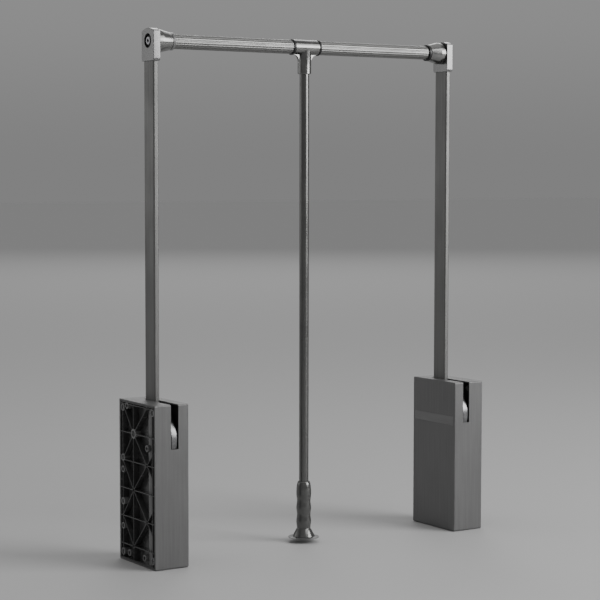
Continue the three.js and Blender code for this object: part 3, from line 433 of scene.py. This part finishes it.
def rib_lines():
    """The two ends of each rib, as back and height."""
    (y0, z0), (y1, z1) = BASE_LOW, BASE_HIGH
    lines = [((y0 + FRAME_LAP, z), (y1 - FRAME_LAP, z)) for z in STAR_ROWS + CROSS_ROWS]
    lines += [((y, z0 + FRAME_LAP), (y, z1 - FRAME_LAP))
              for y in (FRONT_COLUMN, PIVOT_COLUMN, BACK_COLUMN)]
    reach = (SPRING_COLUMN - FRONT_COLUMN) / (PIVOT_COLUMN - SPRING_COLUMN)
    for index, star in enumerate(STAR_ROWS):
        for cross in CROSS_ROWS[index:index + 2]:
            lines.append(((PIVOT_COLUMN, star), (SPRING_COLUMN, cross)))
            lines.append(((PIVOT_COLUMN, star), (BACK_COLUMN, cross)))
            if cross != CROSS_ROWS[0]:
                front = cross + (star - cross) * reach
                lines.append(((SPRING_COLUMN, cross), (FRONT_COLUMN, front)))
    return lines


def tunnel_back(sign):
    """The round back of the spring tunnel, a curved plate that stands out of the floor."""
    corners, faces, steps = [], [], TUNNEL_STEPS
    for z in (BASE_LOW[1] + FRAME_LAP, BASE_HIGH[1] - FRAME_LAP):
        for radius in (TUNNEL_OUTER, TUNNEL_INNER):
            for i in range(steps + 1):
                a = math.radians(-TUNNEL_TURN + 2 * TUNNEL_TURN * i / steps)
                corners.append((across(sign, SPRING_INSET - radius * math.cos(a)),
                                SPRING_COLUMN + radius * math.sin(a), z))
    row = steps + 1
    for i in range(steps):
        for low, high in ((0, 2), (1, 3), (0, 1), (2, 3)):
            faces.append((low * row + i, low * row + i + 1, high * row + i + 1, high * row + i))
    for i in (0, steps):
        faces.append((i, row + i, 3 * row + i, 2 * row + i))
    return corners, faces


def crossing(sign, radius, spot):
    """The round post where ribs cross."""
    profile = [(0, CROSSING_TOP), (radius - CROSSING_EDGE, CROSSING_TOP),
               (radius, CROSSING_SIDE), (radius, CROSSING_FOOT), (0, CROSSING_FOOT)]
    return turned(from_wall(sign, profile), spot, steps=24)


def base_shell(sign):
    """The base's frame, floor and rib crossings."""
    (y0, z0), (y1, z1) = BASE_LOW, BASE_HIGH
    shapes = [boxed((across(sign, RIB_DEPTH), y0 + FLOOR_LAP, z0 + FLOOR_LAP),
                    (across(sign, BASE_FLOOR), y1 - FLOOR_LAP, z1 - FLOOR_LAP))]
    for low, high in (((y0, z0), (y0 + FRAME_WALL, z1)), ((y1 - FRAME_WALL, z0), (y1, z1)),
                      ((y0 + FRAME_LAP, z0), (y1 - FRAME_LAP, z0 + FRAME_WALL)),
                      ((y0 + FRAME_LAP, z1 - FRAME_WALL), (y1 - FRAME_LAP, z1))):
        shapes.append(boxed((across(sign, 0), *low), (across(sign, BASE_FLOOR), *high)))
    shapes += [crossing(sign, STAR_CROSSING, (PIVOT_COLUMN, z)) for z in STAR_ROWS[1:]]
    shapes += [crossing(sign, PLAIN_CROSSING, (SPRING_COLUMN, z)) for z in CROSS_ROWS]
    return shapes


def base_ring(sign, ring, spot, steps=32):
    """One of the base's rings, at a back and height."""
    outer, inner, low, high = ring
    profile = tube_profile(outer, inner, across(sign, low), across(sign, high))
    return turned(profile, spot, steps=steps)


def base_rounds(sign):
    """The tunnel's back and the rings of the base's sockets, painted lighter as a highlight."""
    pivot = (PIVOT_COLUMN, STAR_ROWS[0])
    return [tunnel_back(sign),
            *[base_ring(sign, SOCKET_RING, spot) for spot in SOCKETS],
            *[base_ring(sign, SCREW_RING, spot) for spot in SCREWS],
            *[base_ring(sign, ring, pivot, steps=40) for ring in PIVOT_RINGS]]


def mottled(name, dark, light, rough, size, detail=2, length=None, axis=UPWARD, metallic=0.0,
            grit=None, depth=0.0, strength=1.0):
    """A material whose colour and roughness follow one noise; rough is its lowest and highest
    roughness. A depth adds a relief, from that noise or from a finer one of the grit's size."""
    made, tree, shader, place = new_material(name)
    cloud = streaks(tree, place, size, length or size, axis, detail)
    tree.links.new(tint(tree, cloud, dark, light), shader.inputs["Base Color"])
    tree.links.new(spread(tree, cloud, *rough), shader.inputs["Roughness"])
    if depth:
        pits = streaks(tree, place, grit, grit, axis, detail) if grit else cloud
        tree.links.new(relief(tree, pits, depth, strength), shader.inputs["Normal"])
    shader.inputs["Metallic"].default_value = metallic
    return made


def moulded_nylon(name, dark, light, rough):
    """Glass-filled nylon with a slight cloud and fine pits."""
    return mottled(name, dark, light, (rough - 0.06, rough + 0.06), size=14, grit=0.9,
                   depth=0.03, strength=0.3)


base_nylon = moulded_nylon("black glass-filled nylon", "3c3c3c", "484848", 0.24)
# A lighter grey copy of the black nylon: a painted highlight on the base's round parts.
highlight_rounds_nylon = moulded_nylon("black nylon painted lighter as highlight", "6a6a6a", "787878", 0.2)

for side, sign in SIDES:
    shell = soften(made_of(side + "_base_shell", *base_shell(sign)), degrees=38)
    fit(shell, side + "_gearbox", base_nylon, [side + "_base_plate"])
    # The round parts are painted lighter grey, a painted highlight.
    rounds = soften(made_of(side + "_base_rounds", *base_rounds(sign)), degrees=38)
    fit(rounds, side + "_gearbox", highlight_rounds_nylon)
    spots = [[across(sign, RIB_DEPTH / 2) * MM, y * MM, z * MM]
             for line in rib_lines() for y, z in line]
    net = bpy.data.meshes.new(side + "_base_ribs")
    net.from_pydata(spots, [(i, i + 1) for i in range(0, len(spots), 2)], [])
    ribs = grow(link(side + "_base_ribs", net), rib_tree, Depth=(RIB_DEPTH - RIB_STEP) * MM,
                Thickness=RIB_THICKNESS * MM, Material=base_nylon)
    fit(soften(ribs, bevel=RIB_ROUNDING), side + "_gearbox", base_nylon)

# Base screws
# Six zinc-plated pan-head screws, sunk in the base's round sockets, hold the base in the cover.
# The heads are turned, with a cross recess pressed in.

# Radius and distance in from the wall
SCREW_PROFILE = ((0, 0.8), (2.2, 0.95), (3.3, 1.5), (3.8, 2.3), (3.8, 3.2), (1.75, 3.2),
                 (1.75, 23.2), (0, 25.1))
RECESS_DEPTH, RECESS_WIDTH, RECESS_REACH = 1.9, 0.45, 2.1

screw_tree, screws_in = grower("screws in their places", (("Screw", "Object"),
                                                           ("Material", "Material")))
screw_shape = add(screw_tree, "GeometryNodeObjectInfo", {
    "Object": screws_in["Screw"]}).outputs["Geometry"]
screw_set = add(screw_tree, "GeometryNodeInstanceOnPoints", {
    "Points": screws_in["Geometry"], "Instance": screw_shape}).outputs["Instances"]
close_tree(screw_tree, screws_in, screw_set)


def combine(piece, operation, *tools):
    """Joins other shapes to a piece, or takes them out of it."""
    for tool in tools:
        step = piece.modifiers.new("combining", "BOOLEAN")
        step.operation = operation
        step.solver = "EXACT"
        step.object = tool
    settle(piece)
    for tool in tools:
        bpy.data.objects.remove(tool)
    return piece


plated_steel = mottled("zinc-plated steel", "cfcfd0", "e2e2e3", (0.2, 0.34), size=3,
                       metallic=1.0)
for side, sign in SIDES:
    head = [(radius, -sign * inset) for radius, inset in SCREW_PROFILE]
    screw = made_of(side + "_screw", turned(head, (0, 0), steps=28))
    bars = [made_of("bar", boxed((-RECESS_DEPTH, -y, -z), (RECESS_DEPTH, y, z)))
            for y, z in ((RECESS_WIDTH, RECESS_REACH), (RECESS_REACH, RECESS_WIDTH))]
    soften(combine(screw, "DIFFERENCE", *bars), degrees=35)
    points = bpy.data.meshes.new(side + "_base_screws")
    points.from_pydata([(across(sign, 0) * MM, y * MM, z * MM) for y, z in SCREWS], [], [])
    screws = grow(link(side + "_base_screws", points), screw_tree, Screw=screw,
                  Material=plated_steel)
    bpy.data.objects.remove(screw)
    fit(screws, side + "_gearbox", plated_steel,
        ["%s_base_screw_%d" % (side, number) for number in range(1, 7)])

# Springs
# A steel coil spring pushes up the piston in each housing's spring tube. The wire is cold wound
# and oiled.

SPRING_LOW, SPRING_HIGH, SPRING_TRAVEL = 6.9, 135.2, 51.6
COIL_TURNS, COIL_RADIUS, WIRE_RADIUS, COIL_END = 24.0, 7.8, 1.35, 1.5
STEPS_A_TURN, WIRE_SIDES = 28, 10

coil_tree, coil_in = grower("coil of wire", (("Turns", "Float"), ("Radius", "Float"),
                                             ("Length", "Float"), ("Wire", "Float"),
                                             ("Place", "Vector"), ("Material", "Material")))
spiral = add(coil_tree, "GeometryNodeCurveSpiral", {
    "Resolution": STEPS_A_TURN, "Rotations": coil_in["Turns"],
    "Start Radius": coil_in["Radius"], "End Radius": coil_in["Radius"],
    "Height": coil_in["Length"]}).outputs["Curve"]
wire = add(coil_tree, "GeometryNodeCurvePrimitiveCircle", {
    "Resolution": WIRE_SIDES, "Radius": coil_in["Wire"]}).outputs["Curve"]
wound = add(coil_tree, "GeometryNodeCurveToMesh", {
    "Curve": spiral, "Profile Curve": wire, "Fill Caps": True}).outputs["Mesh"]
moved = add(coil_tree, "GeometryNodeTransform", {
    "Geometry": wound, "Translation": coil_in["Place"]}).outputs["Geometry"]
close_tree(coil_tree, coil_in, moved)

spring_wire = mottled("oiled spring steel", "3a3a3c", "505052", (0.28, 0.42), size=2,
                      metallic=1.0)
for side, sign in SIDES:
    spring_x, spring_y = across(sign, SPRING_INSET) * MM, SPRING_COLUMN * MM
    start = link(side + "_coil", bpy.data.meshes.new(side + "_coil"))
    coil = grow(start, coil_tree, Turns=COIL_TURNS, Radius=COIL_RADIUS * MM,
                Length=(SPRING_HIGH - SPRING_LOW - 2 * COIL_END) * MM, Wire=WIRE_RADIUS * MM,
                Place=(spring_x, spring_y, (SPRING_LOW + COIL_END) * MM), Material=spring_wire)
    coil.data.shade_smooth()
    fit(coil, side + "_gearbox", spring_wire, [side + "_return_spring"])
    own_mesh(coil)

# Spring tubes, pistons and cranks
# Inside each housing the arm's cast foot turns on a ground axle in nylon bushes. Its crank pin
# carries a roller in the slotted head of a piston, which runs in a drawn steel tube. The foot's
# polished round nose fills the cover's slot.

NOSE_CENTRE, NOSE_OUTER, NOSE_INNER = (-12.5, 203.3), 46, 34
NOSE_FACE, NOSE_REAR, NOSE_ROUNDING = 30, 40, 0.8
NOSE_TURNS = range(95, 206, 2)


def finish_solid(nodes, material):
    """Gives modelled solids whose shape is right their material."""
    for name in nodes:
        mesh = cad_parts[name].data
        mesh.materials.clear()
        mesh.materials.append(material)


def prism(outline, low, high, axis="X"):
    """A flat outline, its second measure the height, drawn out along the rail (X) or back (Y)."""
    count = len(outline)
    corners = [(along, u, z) if axis == "X" else (u, along, z)
               for along in (low, high) for u, z in outline]
    faces = [tuple(range(count)), tuple(range(2 * count - 1, count - 1, -1))]
    faces += [(i, (i + 1) % count, count + (i + 1) % count, count + i) for i in range(count)]
    return corners, faces


def nose_outline():
    """The nose's rim from the side: its outer arc down and its inner arc back up."""
    arcs = ((NOSE_OUTER, NOSE_TURNS), (NOSE_INNER, reversed(NOSE_TURNS)))
    return [(NOSE_CENTRE[0] + radius * math.cos(math.radians(turn)),
             NOSE_CENTRE[1] + radius * math.sin(math.radians(turn)))
            for radius, turns in arcs for turn in turns]


drawn_steel = brushed_metal("drawn steel tube", "88888b", "98989b", 0.32, UPWARD, width=1.2,
                            length=40)
polished_steel = mottled("polished steel", "747475", "848485", (0.24, 0.34), size=0.8,
                         length=12, axis=BACKWARD, metallic=1.0)
bearing_nylon = mottled("black bearing nylon", "121213", "1b1b1c", (0.34, 0.48), size=1.5,
                        depth=0.02, strength=0.3)
for side, sign in SIDES:
    finish_solid([side + "_spring_tube", side + "_plunger"], drawn_steel)
    finish_solid([side + "_outer_bush", side + "_inner_bush", side + "_crank_roller"],
                 bearing_nylon)
    finish_solid([side + "_pivot_axle", side + "_crank_pin", side + "_arm_rivet"], plated_steel)
    foot = dressed_copy(side + "_crank_hub", side + "_crank_foot", degrees=30)
    nose = prism(nose_outline(), across(sign, NOSE_FACE), across(sign, NOSE_REAR))
    rim = soften(made_of(side + "_nose", nose), degrees=30, bevel=NOSE_ROUNDING)
    combine(foot, "UNION", rim)
    fit(soften(foot, degrees=30), side + "_arm", polished_steel,
        [side + "_crank_hub"])

# Stop buffers
# A moulded rubber block behind each raised arm takes the last of its swing. It is matt black
# with the fine haze that rubber gets.

buffer_rubber = mottled("black rubber", "151515", "222222", (0.72, 0.88), size=2, detail=4,
                        depth=0.05, strength=0.3)
finish_solid([side + "_stop_buffer" for side, sign in SIDES], buffer_rubber)

# Arms
# Each arm is a welded flat steel tube with rounded corners, pushed over the foot's tang and
# riveted. Its grey lacquer is satin, over a fine grain that runs up the tube.

ARM_INSET, ARM_HALF, ARM_FRONT, ARM_BACK = 35, 4.5, -3, 29
ARM_LOW, ARM_HIGH = 235, 816
ARM_WALL, ARM_CORNER = 1.3, 2.2


def rounded(low, high, radius, steps=6):
    """The corners of a rounded rectangle, anticlockwise."""
    near = (low[0] + radius, low[1] + radius)
    far = (high[0] - radius, high[1] - radius)
    points = []
    for x, y, start in ((far[0], far[1], 0), (near[0], far[1], 90), (near[0], near[1], 180),
                        (far[0], near[1], 270)):
        for i in range(steps + 1):
            a = math.radians(start + 90 * i / steps)
            points.append((x + radius * math.cos(a), y + radius * math.sin(a)))
    return points


def upright_tube(outer, inner, low, high):
    """A tube between two heights, from an outer and an inner outline of as many points each."""
    count = len(outer)
    corners = [(x, y, z) for outline in (outer, inner) for z in (low, high) for x, y in outline]
    faces = []
    for i in range(count):
        j = (i + 1) % count
        for first, second in ((0, 1), (1, 3), (3, 2), (2, 0)):
            faces.append((first * count + i, first * count + j,
                          second * count + j, second * count + i))
    return corners, faces


arm_lacquer = brushed_metal("satin grey lacquer on steel", "6a6a69", "767675", 0.44, UPWARD,
                            width=1.6, length=160)
for side, sign in SIDES:
    middle = across(sign, ARM_INSET)
    bore = ARM_HALF - ARM_WALL
    outside = rounded((middle - ARM_HALF, ARM_FRONT), (middle + ARM_HALF, ARM_BACK), ARM_CORNER)
    inside = rounded((middle - bore, ARM_FRONT + ARM_WALL), (middle + bore, ARM_BACK - ARM_WALL),
                     ARM_CORNER - ARM_WALL)
    tube = made_of(side + "_arm_tube_fine", upright_tube(outside, inside, ARM_LOW, ARM_HIGH))
    fit(soften(tube), side + "_arm", arm_lacquer, [side + "_arm_tube"])

# Arm heads
# A die-cast zinc head closes the top of each arm: straight sides, a shallow arched top, and a
# round recess on the wall side for the bolt. The casting is bead blasted and clear coated.

RAIL_BACK, RAIL_HEIGHT = 13, 830
HEAD_FACE, HEAD_REAR, HEAD_ROUNDING = 29, 41, 0.7
ARCH_RADIUS, ARCH_CENTRE = 42.5, 807.5
ARCH_START, ARCH_SWEEP, ARCH_STEPS = 61.93, 56.14, 24
HEAD_SHOULDERS = [(-7, 803), (-5.8, 798), (31.8, 798), (33, 803)]
# Radius and distance in from the wall
BOLT_RECESS = ((0, 20), (11, 20), (11, 34), (0, 34))


def round_rail(profile, steps=72):
    """A shape turned about the rail's axis."""
    return turned(profile, (RAIL_BACK, RAIL_HEIGHT), steps=steps)


def head_outline():
    """The head from the side, as back and height: the arch, then the sides and the foot."""
    turns = [math.radians(ARCH_START + ARCH_SWEEP * i / ARCH_STEPS) for i in range(ARCH_STEPS + 1)]
    return [(RAIL_BACK + ARCH_RADIUS * math.cos(a), ARCH_CENTRE + ARCH_RADIUS * math.sin(a))
            for a in turns] + HEAD_SHOULDERS


def cast_zinc(name, dark, light, rough):
    """Bead blasted or polished die-cast zinc under clear coat: a fine even grit."""
    return mottled(name, dark, light, (rough - 0.04, rough + 0.05), size=12, metallic=0.95,
                   grit=0.7, depth=0.012, strength=0.3)


head_zinc = cast_zinc("bead blasted zinc", "6e6e6e", "787878", 0.23)
for side, sign in SIDES:
    head = made_of(side + "_head", prism(head_outline(), across(sign, HEAD_FACE),
                                         across(sign, HEAD_REAR)))
    recess = made_of("recess", round_rail(from_wall(sign, BOLT_RECESS), steps=64))
    combine(head, "DIFFERENCE", recess)
    fit(soften(head, degrees=30, bevel=HEAD_ROUNDING, segments=3), side + "_arm",
        head_zinc, [side + "_head_bracket"])

# Head bolts
# A socket bolt in each head's recess holds the rail's cup. Its head is turned and zinced, with
# a chamfered edge and a hexagon socket. A thin near-black ring on the recess floor round the
# head is painted shade in the recess.

# Radius and distance in from the wall
BOLT_PROFILE = ((0, 29.5), (5.8, 29.5), (6.5, 30.2), (6.5, 34), (4, 34), (4, 55.5), (3.4, 56),
                (0, 56))
KEY_RADIUS, KEY_MOUTH, KEY_BOTTOM = 3.46, 25, 32.5
# A thin near-black ring of painted shade on the recess floor round the bolt head
SHADE_RING_OUTER, SHADE_RING_INNER, SHADE_RING_EDGE = 10.7, 6.7, 0.15
SHADE_RING_FACE, SHADE_RING_REAR = 33.2, 33.95

bolt_zinc = mottled("zinced bolt steel", "8f8f92", "a6a6a8", (0.22, 0.36), size=1.5, detail=3,
                    metallic=1.0)
# Near-black nylon, the painted shade on the bolt recess's floor.
shade_ring_nylon = mottled("near-black nylon for painted recess shade", "0b0b0c", "121213", (0.4, 0.55), size=1.5)
for side, sign in SIDES:
    bolt = made_of(side + "_bolt", round_rail(from_wall(sign, BOLT_PROFILE), steps=48))
    key = [(RAIL_BACK + KEY_RADIUS * math.cos(math.pi * i / 3),
            RAIL_HEIGHT + KEY_RADIUS * math.sin(math.pi * i / 3)) for i in range(6)]
    combine(bolt, "DIFFERENCE",
            made_of("key", prism(key, across(sign, KEY_MOUTH), across(sign, KEY_BOTTOM))))
    fit(soften(bolt, degrees=30), side + "_arm", bolt_zinc,
        [side + "_head_bolt"])
    # The ring on the recess floor round the bolt head is painted shade.
    ring = tube_profile(SHADE_RING_OUTER, SHADE_RING_INNER, across(sign, SHADE_RING_FACE),
                        across(sign, SHADE_RING_REAR), SHADE_RING_EDGE)
    shade_ring = made_of(side + "_washer", round_rail(ring, steps=48))
    fit(soften(shade_ring), side + "_arm", shade_ring_nylon)

# Rail cups and their rings
# The rail's ends sit in die-cast cups that flare out to the heads, satin polished. A black
# nylon ring closes each cup's mouth round the rail; the left one is painted grey, a painted
# highlight.

# Radius and distance in from the wall
CUP_PROFILE = ((4.1, 41), (17.7, 41), (18.3, 41.6), (18.3, 48.4), (18.05, 51), (14, 67.7),
               (13.6, 68.2), (12.6, 68.2), (12.6, 62), (11.65, 62), (11.65, 50), (4.1, 50))
MOUTH_PROFILE = ((11.65, 62.5), (12.55, 62.5), (12.55, 68.5), (13.7, 68.5), (14, 68.8),
                 (14, 72.4), (13.8, 72.8), (13.4, 73), (11.65, 73))

cup_zinc = cast_zinc("satin polished zinc", "7c7c7b", "888887", 0.22)
# Grey nylon for the left mouth ring: a painted highlight on the black ring.
highlight_ring_nylon = moulded_nylon("black nylon painted grey as highlight", "6c6c6c", "787878", 0.3)
for side, sign in SIDES:
    cup = made_of(side + "_cup", round_rail(from_wall(sign, CUP_PROFILE)))
    fit(soften(cup, degrees=35), side + "_arm", cup_zinc, [side + "_rail_cup"])
    mouth = made_of(side + "_mouth_ring", round_rail(from_wall(sign, MOUTH_PROFILE)))
    # The left ring is painted grey as a highlight; the right keeps the black nylon.
    fit(soften(mouth, degrees=35), side + "_arm",
        bearing_nylon if side == "right" else highlight_ring_nylon, [side + "_cup_ring"])

# Telescopic rail
# Two extruded aluminium tubes, fluted so that hangers don't slide and anodised dark grey, run
# on a smooth inner tube. The flutes draw the light out into fine lines.

# Radius and distance in from the wall
RAIL_PROFILE = ((9.3, 50.3), (11.6, 50.3), (11.6, 296.7), (9.3, 296.7))
FLUTE_COUNT, FLUTE_DEPTH, FLUTE_FLOOR = 20.0, 0.34, 11
# Where a flute's side starts and ends, on a cosine that goes round the rail
FLUTE_START, FLUTE_END = -0.5, 0.6
CORE_OUTER, CORE_INNER, CORE_REACH = 9.2, 7.6, 190

flute_tree, flute_in = grower("flutes round the rail", (("Count", "Float"), ("Depth", "Float"),
                                                         ("Radius", "Float"),
                                                         ("Middle", "Vector"),
                                                         ("Material", "Material")))
spot = add(flute_tree, "GeometryNodeInputPosition").outputs["Position"]
level = add(flute_tree, "ShaderNodeVectorMath", {0: spot, 1: flute_in["Middle"]},
            operation="SUBTRACT").outputs["Vector"]
flat = add(flute_tree, "ShaderNodeVectorMath", {0: level, 1: (0, 1, 1)},
           operation="MULTIPLY").outputs["Vector"]
reach = add(flute_tree, "ShaderNodeVectorMath", {0: flat}, operation="LENGTH").outputs["Value"]
parts = add(flute_tree, "ShaderNodeSeparateXYZ", {"Vector": flat}).outputs
angle = add(flute_tree, "ShaderNodeMath", {0: parts["Z"], 1: parts["Y"]},
            operation="ARCTAN2").outputs[0]
wound_up = add(flute_tree, "ShaderNodeMath", {0: angle, 1: flute_in["Count"]},
               operation="MULTIPLY").outputs[0]
wave = add(flute_tree, "ShaderNodeMath", {0: wound_up}, operation="COSINE").outputs[0]
groove = add(flute_tree, "ShaderNodeMapRange", {
    "Value": wave, "From Min": FLUTE_START, "From Max": FLUTE_END, "To Min": 0.0,
    "To Max": 1.0}).outputs["Result"]
dip = add(flute_tree, "ShaderNodeMath", {0: groove, 1: flute_in["Depth"]},
          operation="MULTIPLY").outputs[0]
back_in = add(flute_tree, "ShaderNodeMath", {0: dip, 1: -1.0}, operation="MULTIPLY").outputs[0]
outward = add(flute_tree, "ShaderNodeVectorMath", {0: flat},
              operation="NORMALIZE").outputs["Vector"]
shift = add(flute_tree, "ShaderNodeVectorMath", {0: outward, "Scale": back_in},
            operation="SCALE").outputs["Vector"]
skin = add(flute_tree, "FunctionNodeCompare", {0: reach, 1: flute_in["Radius"]},
           data_type="FLOAT", operation="GREATER_THAN").outputs["Result"]
fluted = add(flute_tree, "GeometryNodeSetPosition", {
    "Geometry": flute_in["Geometry"], "Selection": skin, "Offset": shift}).outputs["Geometry"]
close_tree(flute_tree, flute_in, fluted)

rail_metal = brushed_metal("anodised aluminium", "747473", "828281", 0.32, ALONG_RAIL,
                           width=1.0, length=80)
core_metal = brushed_metal("smooth anodised aluminium", "828281", "8e8e8d", 0.28, ALONG_RAIL,
                           width=1.0, length=80)
for side, sign in SIDES:
    plain = made_of(side + "_rail", round_rail(from_wall(sign, RAIL_PROFILE), steps=200))
    rail = grow(plain, flute_tree, Count=FLUTE_COUNT, Depth=FLUTE_DEPTH * MM,
                Radius=FLUTE_FLOOR * MM, Middle=(0, RAIL_BACK * MM, RAIL_HEIGHT * MM),
                Material=rail_metal)
    fit(soften(rail, degrees=50), side + "_arm", rail_metal,
        [side + "_rail_tube"])
core = made_of("inner_rail", round_rail(
    tube_profile(CORE_OUTER, CORE_INNER, -CORE_REACH, CORE_REACH), steps=64))
fit(soften(core), "rail_middle", core_metal, ["rail_core"])

# Stop rings
# Two moulded rings of black nylon keep the tee in the middle of the rail. They are pressed on
# the inner tube.

# Radius and distance from the rail's middle
COLLAR_PROFILE = ((9.25, 24), (12.4, 24), (12.9, 24.2), (13.1, 24.6), (13.1, 26.4), (12.9, 26.8),
                  (12.4, 27), (9.25, 27))

for side, sign in SIDES:
    collar = [(radius, sign * along) for radius, along in COLLAR_PROFILE]
    stop = made_of(side + "_collar", round_rail(collar))
    fit(soften(stop, degrees=35), "rail_middle", bearing_nylon,
        [side + "_stop_ring"])

# Tee
# The pull rod hangs from a die-cast tee that turns on the inner tube. Its sleeve, its stem and
# the curved webs between them are one casting, polished and clear coated, with a grub screw at
# the back that holds the rod.

# Radius and place along the rail
SLEEVE_PROFILE = ((0, -23.7), (11.6, -23.7), (12.33, -23.1), (12.33, 23.1), (11.6, 23.7),
                  (0, 23.7))
SLEEVE_BORE = ((0, -30), (9.25, -30), (9.25, 30), (0, 30))
# Radius and height
STEM_PROFILE = ((0, 786), (10.5, 786), (11.3, 786.8), (11.3, RAIL_HEIGHT), (0, RAIL_HEIGHT))
ROD_BORE = ((0, 780), (8.05, 780), (8.05, 812.3), (0, 812.3))
WEB_REACH, WEB_TOP, WEB_HALF, WEB_STEPS = 21.3, 824, 2.5, 24
WEB_CURVE_CENTRE, WEB_CURVE_WIDTH, WEB_CURVE_HEIGHT = 803.67, 10, 14


def round_rod(profile, steps=64):
    """A shape turned about the pull rod's axis, its profile upwards."""
    return turned(profile, (0, RAIL_BACK), "Z", steps)


def web_outline():
    """Both webs from the front: a hollow quarter curve on each side, under a straight top."""
    turns = [math.pi * i / (2 * WEB_STEPS) for i in range(WEB_STEPS + 1)]
    arc = [(WEB_REACH - WEB_CURVE_WIDTH * math.sin(a),
            WEB_CURVE_CENTRE + WEB_CURVE_HEIGHT * math.cos(a)) for a in turns]
    return arc + [(-x, z) for x, z in reversed(arc)] + [(-WEB_REACH, WEB_TOP),
                                                        (WEB_REACH, WEB_TOP)]


tee_zinc = cast_zinc("polished zinc", "767675", "828281", 0.2)
sleeve = made_of("tee", round_rail(SLEEVE_PROFILE))
stem = made_of("stem", round_rod(STEM_PROFILE))
webs = made_of("webs", prism(web_outline(), RAIL_BACK - WEB_HALF, RAIL_BACK + WEB_HALF, "Y"))
combine(sleeve, "UNION", stem, webs)
combine(sleeve, "DIFFERENCE", made_of("bore", round_rail(SLEEVE_BORE)),
        made_of("bore", round_rod(ROD_BORE)))
fit(soften(sleeve, degrees=32), "hanging_rod", tee_zinc, ["tee_connector"])
finish_solid(["tee_screw"], bolt_zinc)

# Pull rod
# The rod is a thin drawn steel tube, lacquered in a dark satin grey over a fine grain. Its top
# is held in the tee's stem, and the grip and the foot are fixed at its bottom.

# Radius and height
ROD_PROFILE = ((6.8, 13.2), (8, 13.2), (8, 812), (6.8, 812))

rod_lacquer = brushed_metal("dark satin lacquer on steel", "686867", "747473", 0.26, UPWARD,
                            width=1.2, length=200)
rod = made_of("rod", round_rod(ROD_PROFILE))
fit(soften(rod), "hanging_rod", rod_lacquer, ["pull_rod"])

# Grip and foot
# The grip is a moulded handle of hard dark plastic with three soft waists for the hand, drawn
# in at the rod and flared at the bottom, where a thin dished foot is plugged into the rod.

GRIP_LOW, GRIP_HIGH, GRIP_STEPS = 9.6, 103, 120
GRIP_FULL, GRIP_MOUTH, GRIP_BORE, GRIP_SEAT = 12.7, 6.7, 8.05, 12.9
WAIST_LOW, WAIST_PITCH, WAIST_DEPTH, WAIST_END = 22.5, 23.5, 1.1, 2.5
SHOULDER_LOW, SHOULDER_HEIGHT, SHOULDER_WIDTH = 84, 19, 4
FLARE_WIDTH, FLARE_POWER = 7.2, 0.9
# Radius and height
FOOT_PROFILE = ((0, 8), (18, 8), (24.8, 7), (25.7, 7.05), (26, 7.4), (26, 7.9), (25.8, 8.2),
                (18, 9.3), (6.6, 9.3), (6.6, 27.4), (6, 28), (0, 28))


def grip_radius(height):
    """Outer radius of the grip at a height, in millimetres."""
    if height > SHOULDER_LOW:
        rise = (height - SHOULDER_LOW) / SHOULDER_HEIGHT
        return GRIP_FULL - SHOULDER_WIDTH + SHOULDER_WIDTH * math.sqrt(max(0, 1 - rise ** 2))
    waists = (height - WAIST_LOW) / WAIST_PITCH
    if waists > WAIST_END:
        return GRIP_FULL
    if waists >= 0:
        return GRIP_FULL - WAIST_DEPTH / 2 * (1 + math.cos(2 * math.pi * waists))
    flare = (WAIST_LOW - height) / (WAIST_LOW - GRIP_LOW)
    return GRIP_FULL - WAIST_DEPTH + FLARE_WIDTH * flare ** FLARE_POWER


grip_plastic = mottled("dark moulded plastic", "616160", "6a6a69", (0.16, 0.24), size=9,
                       metallic=0.7, grit=0.7, depth=0.02, strength=0.25)
grip_heights = [GRIP_LOW + (GRIP_HIGH - GRIP_LOW) * i / GRIP_STEPS for i in range(GRIP_STEPS + 1)]
grip_profile = [(GRIP_MOUTH, GRIP_LOW), *[(grip_radius(z), z) for z in grip_heights],
                (GRIP_BORE, GRIP_HIGH), (GRIP_BORE, GRIP_SEAT), (GRIP_MOUTH, GRIP_SEAT)]
grip = made_of("grip", round_rod(grip_profile, steps=72))
fit(soften(grip, degrees=50), "hanging_rod", grip_plastic, ["hand_grip"])
foot_plastic = moulded_nylon("dark black nylon painted grey as highlight", "4e4e4e", "5a5a5a", 0.4)
foot_disc = made_of("foot", round_rod(FOOT_PROFILE, steps=96))
fit(soften(foot_disc, degrees=35), "hanging_rod", foot_plastic, ["grip_foot"])
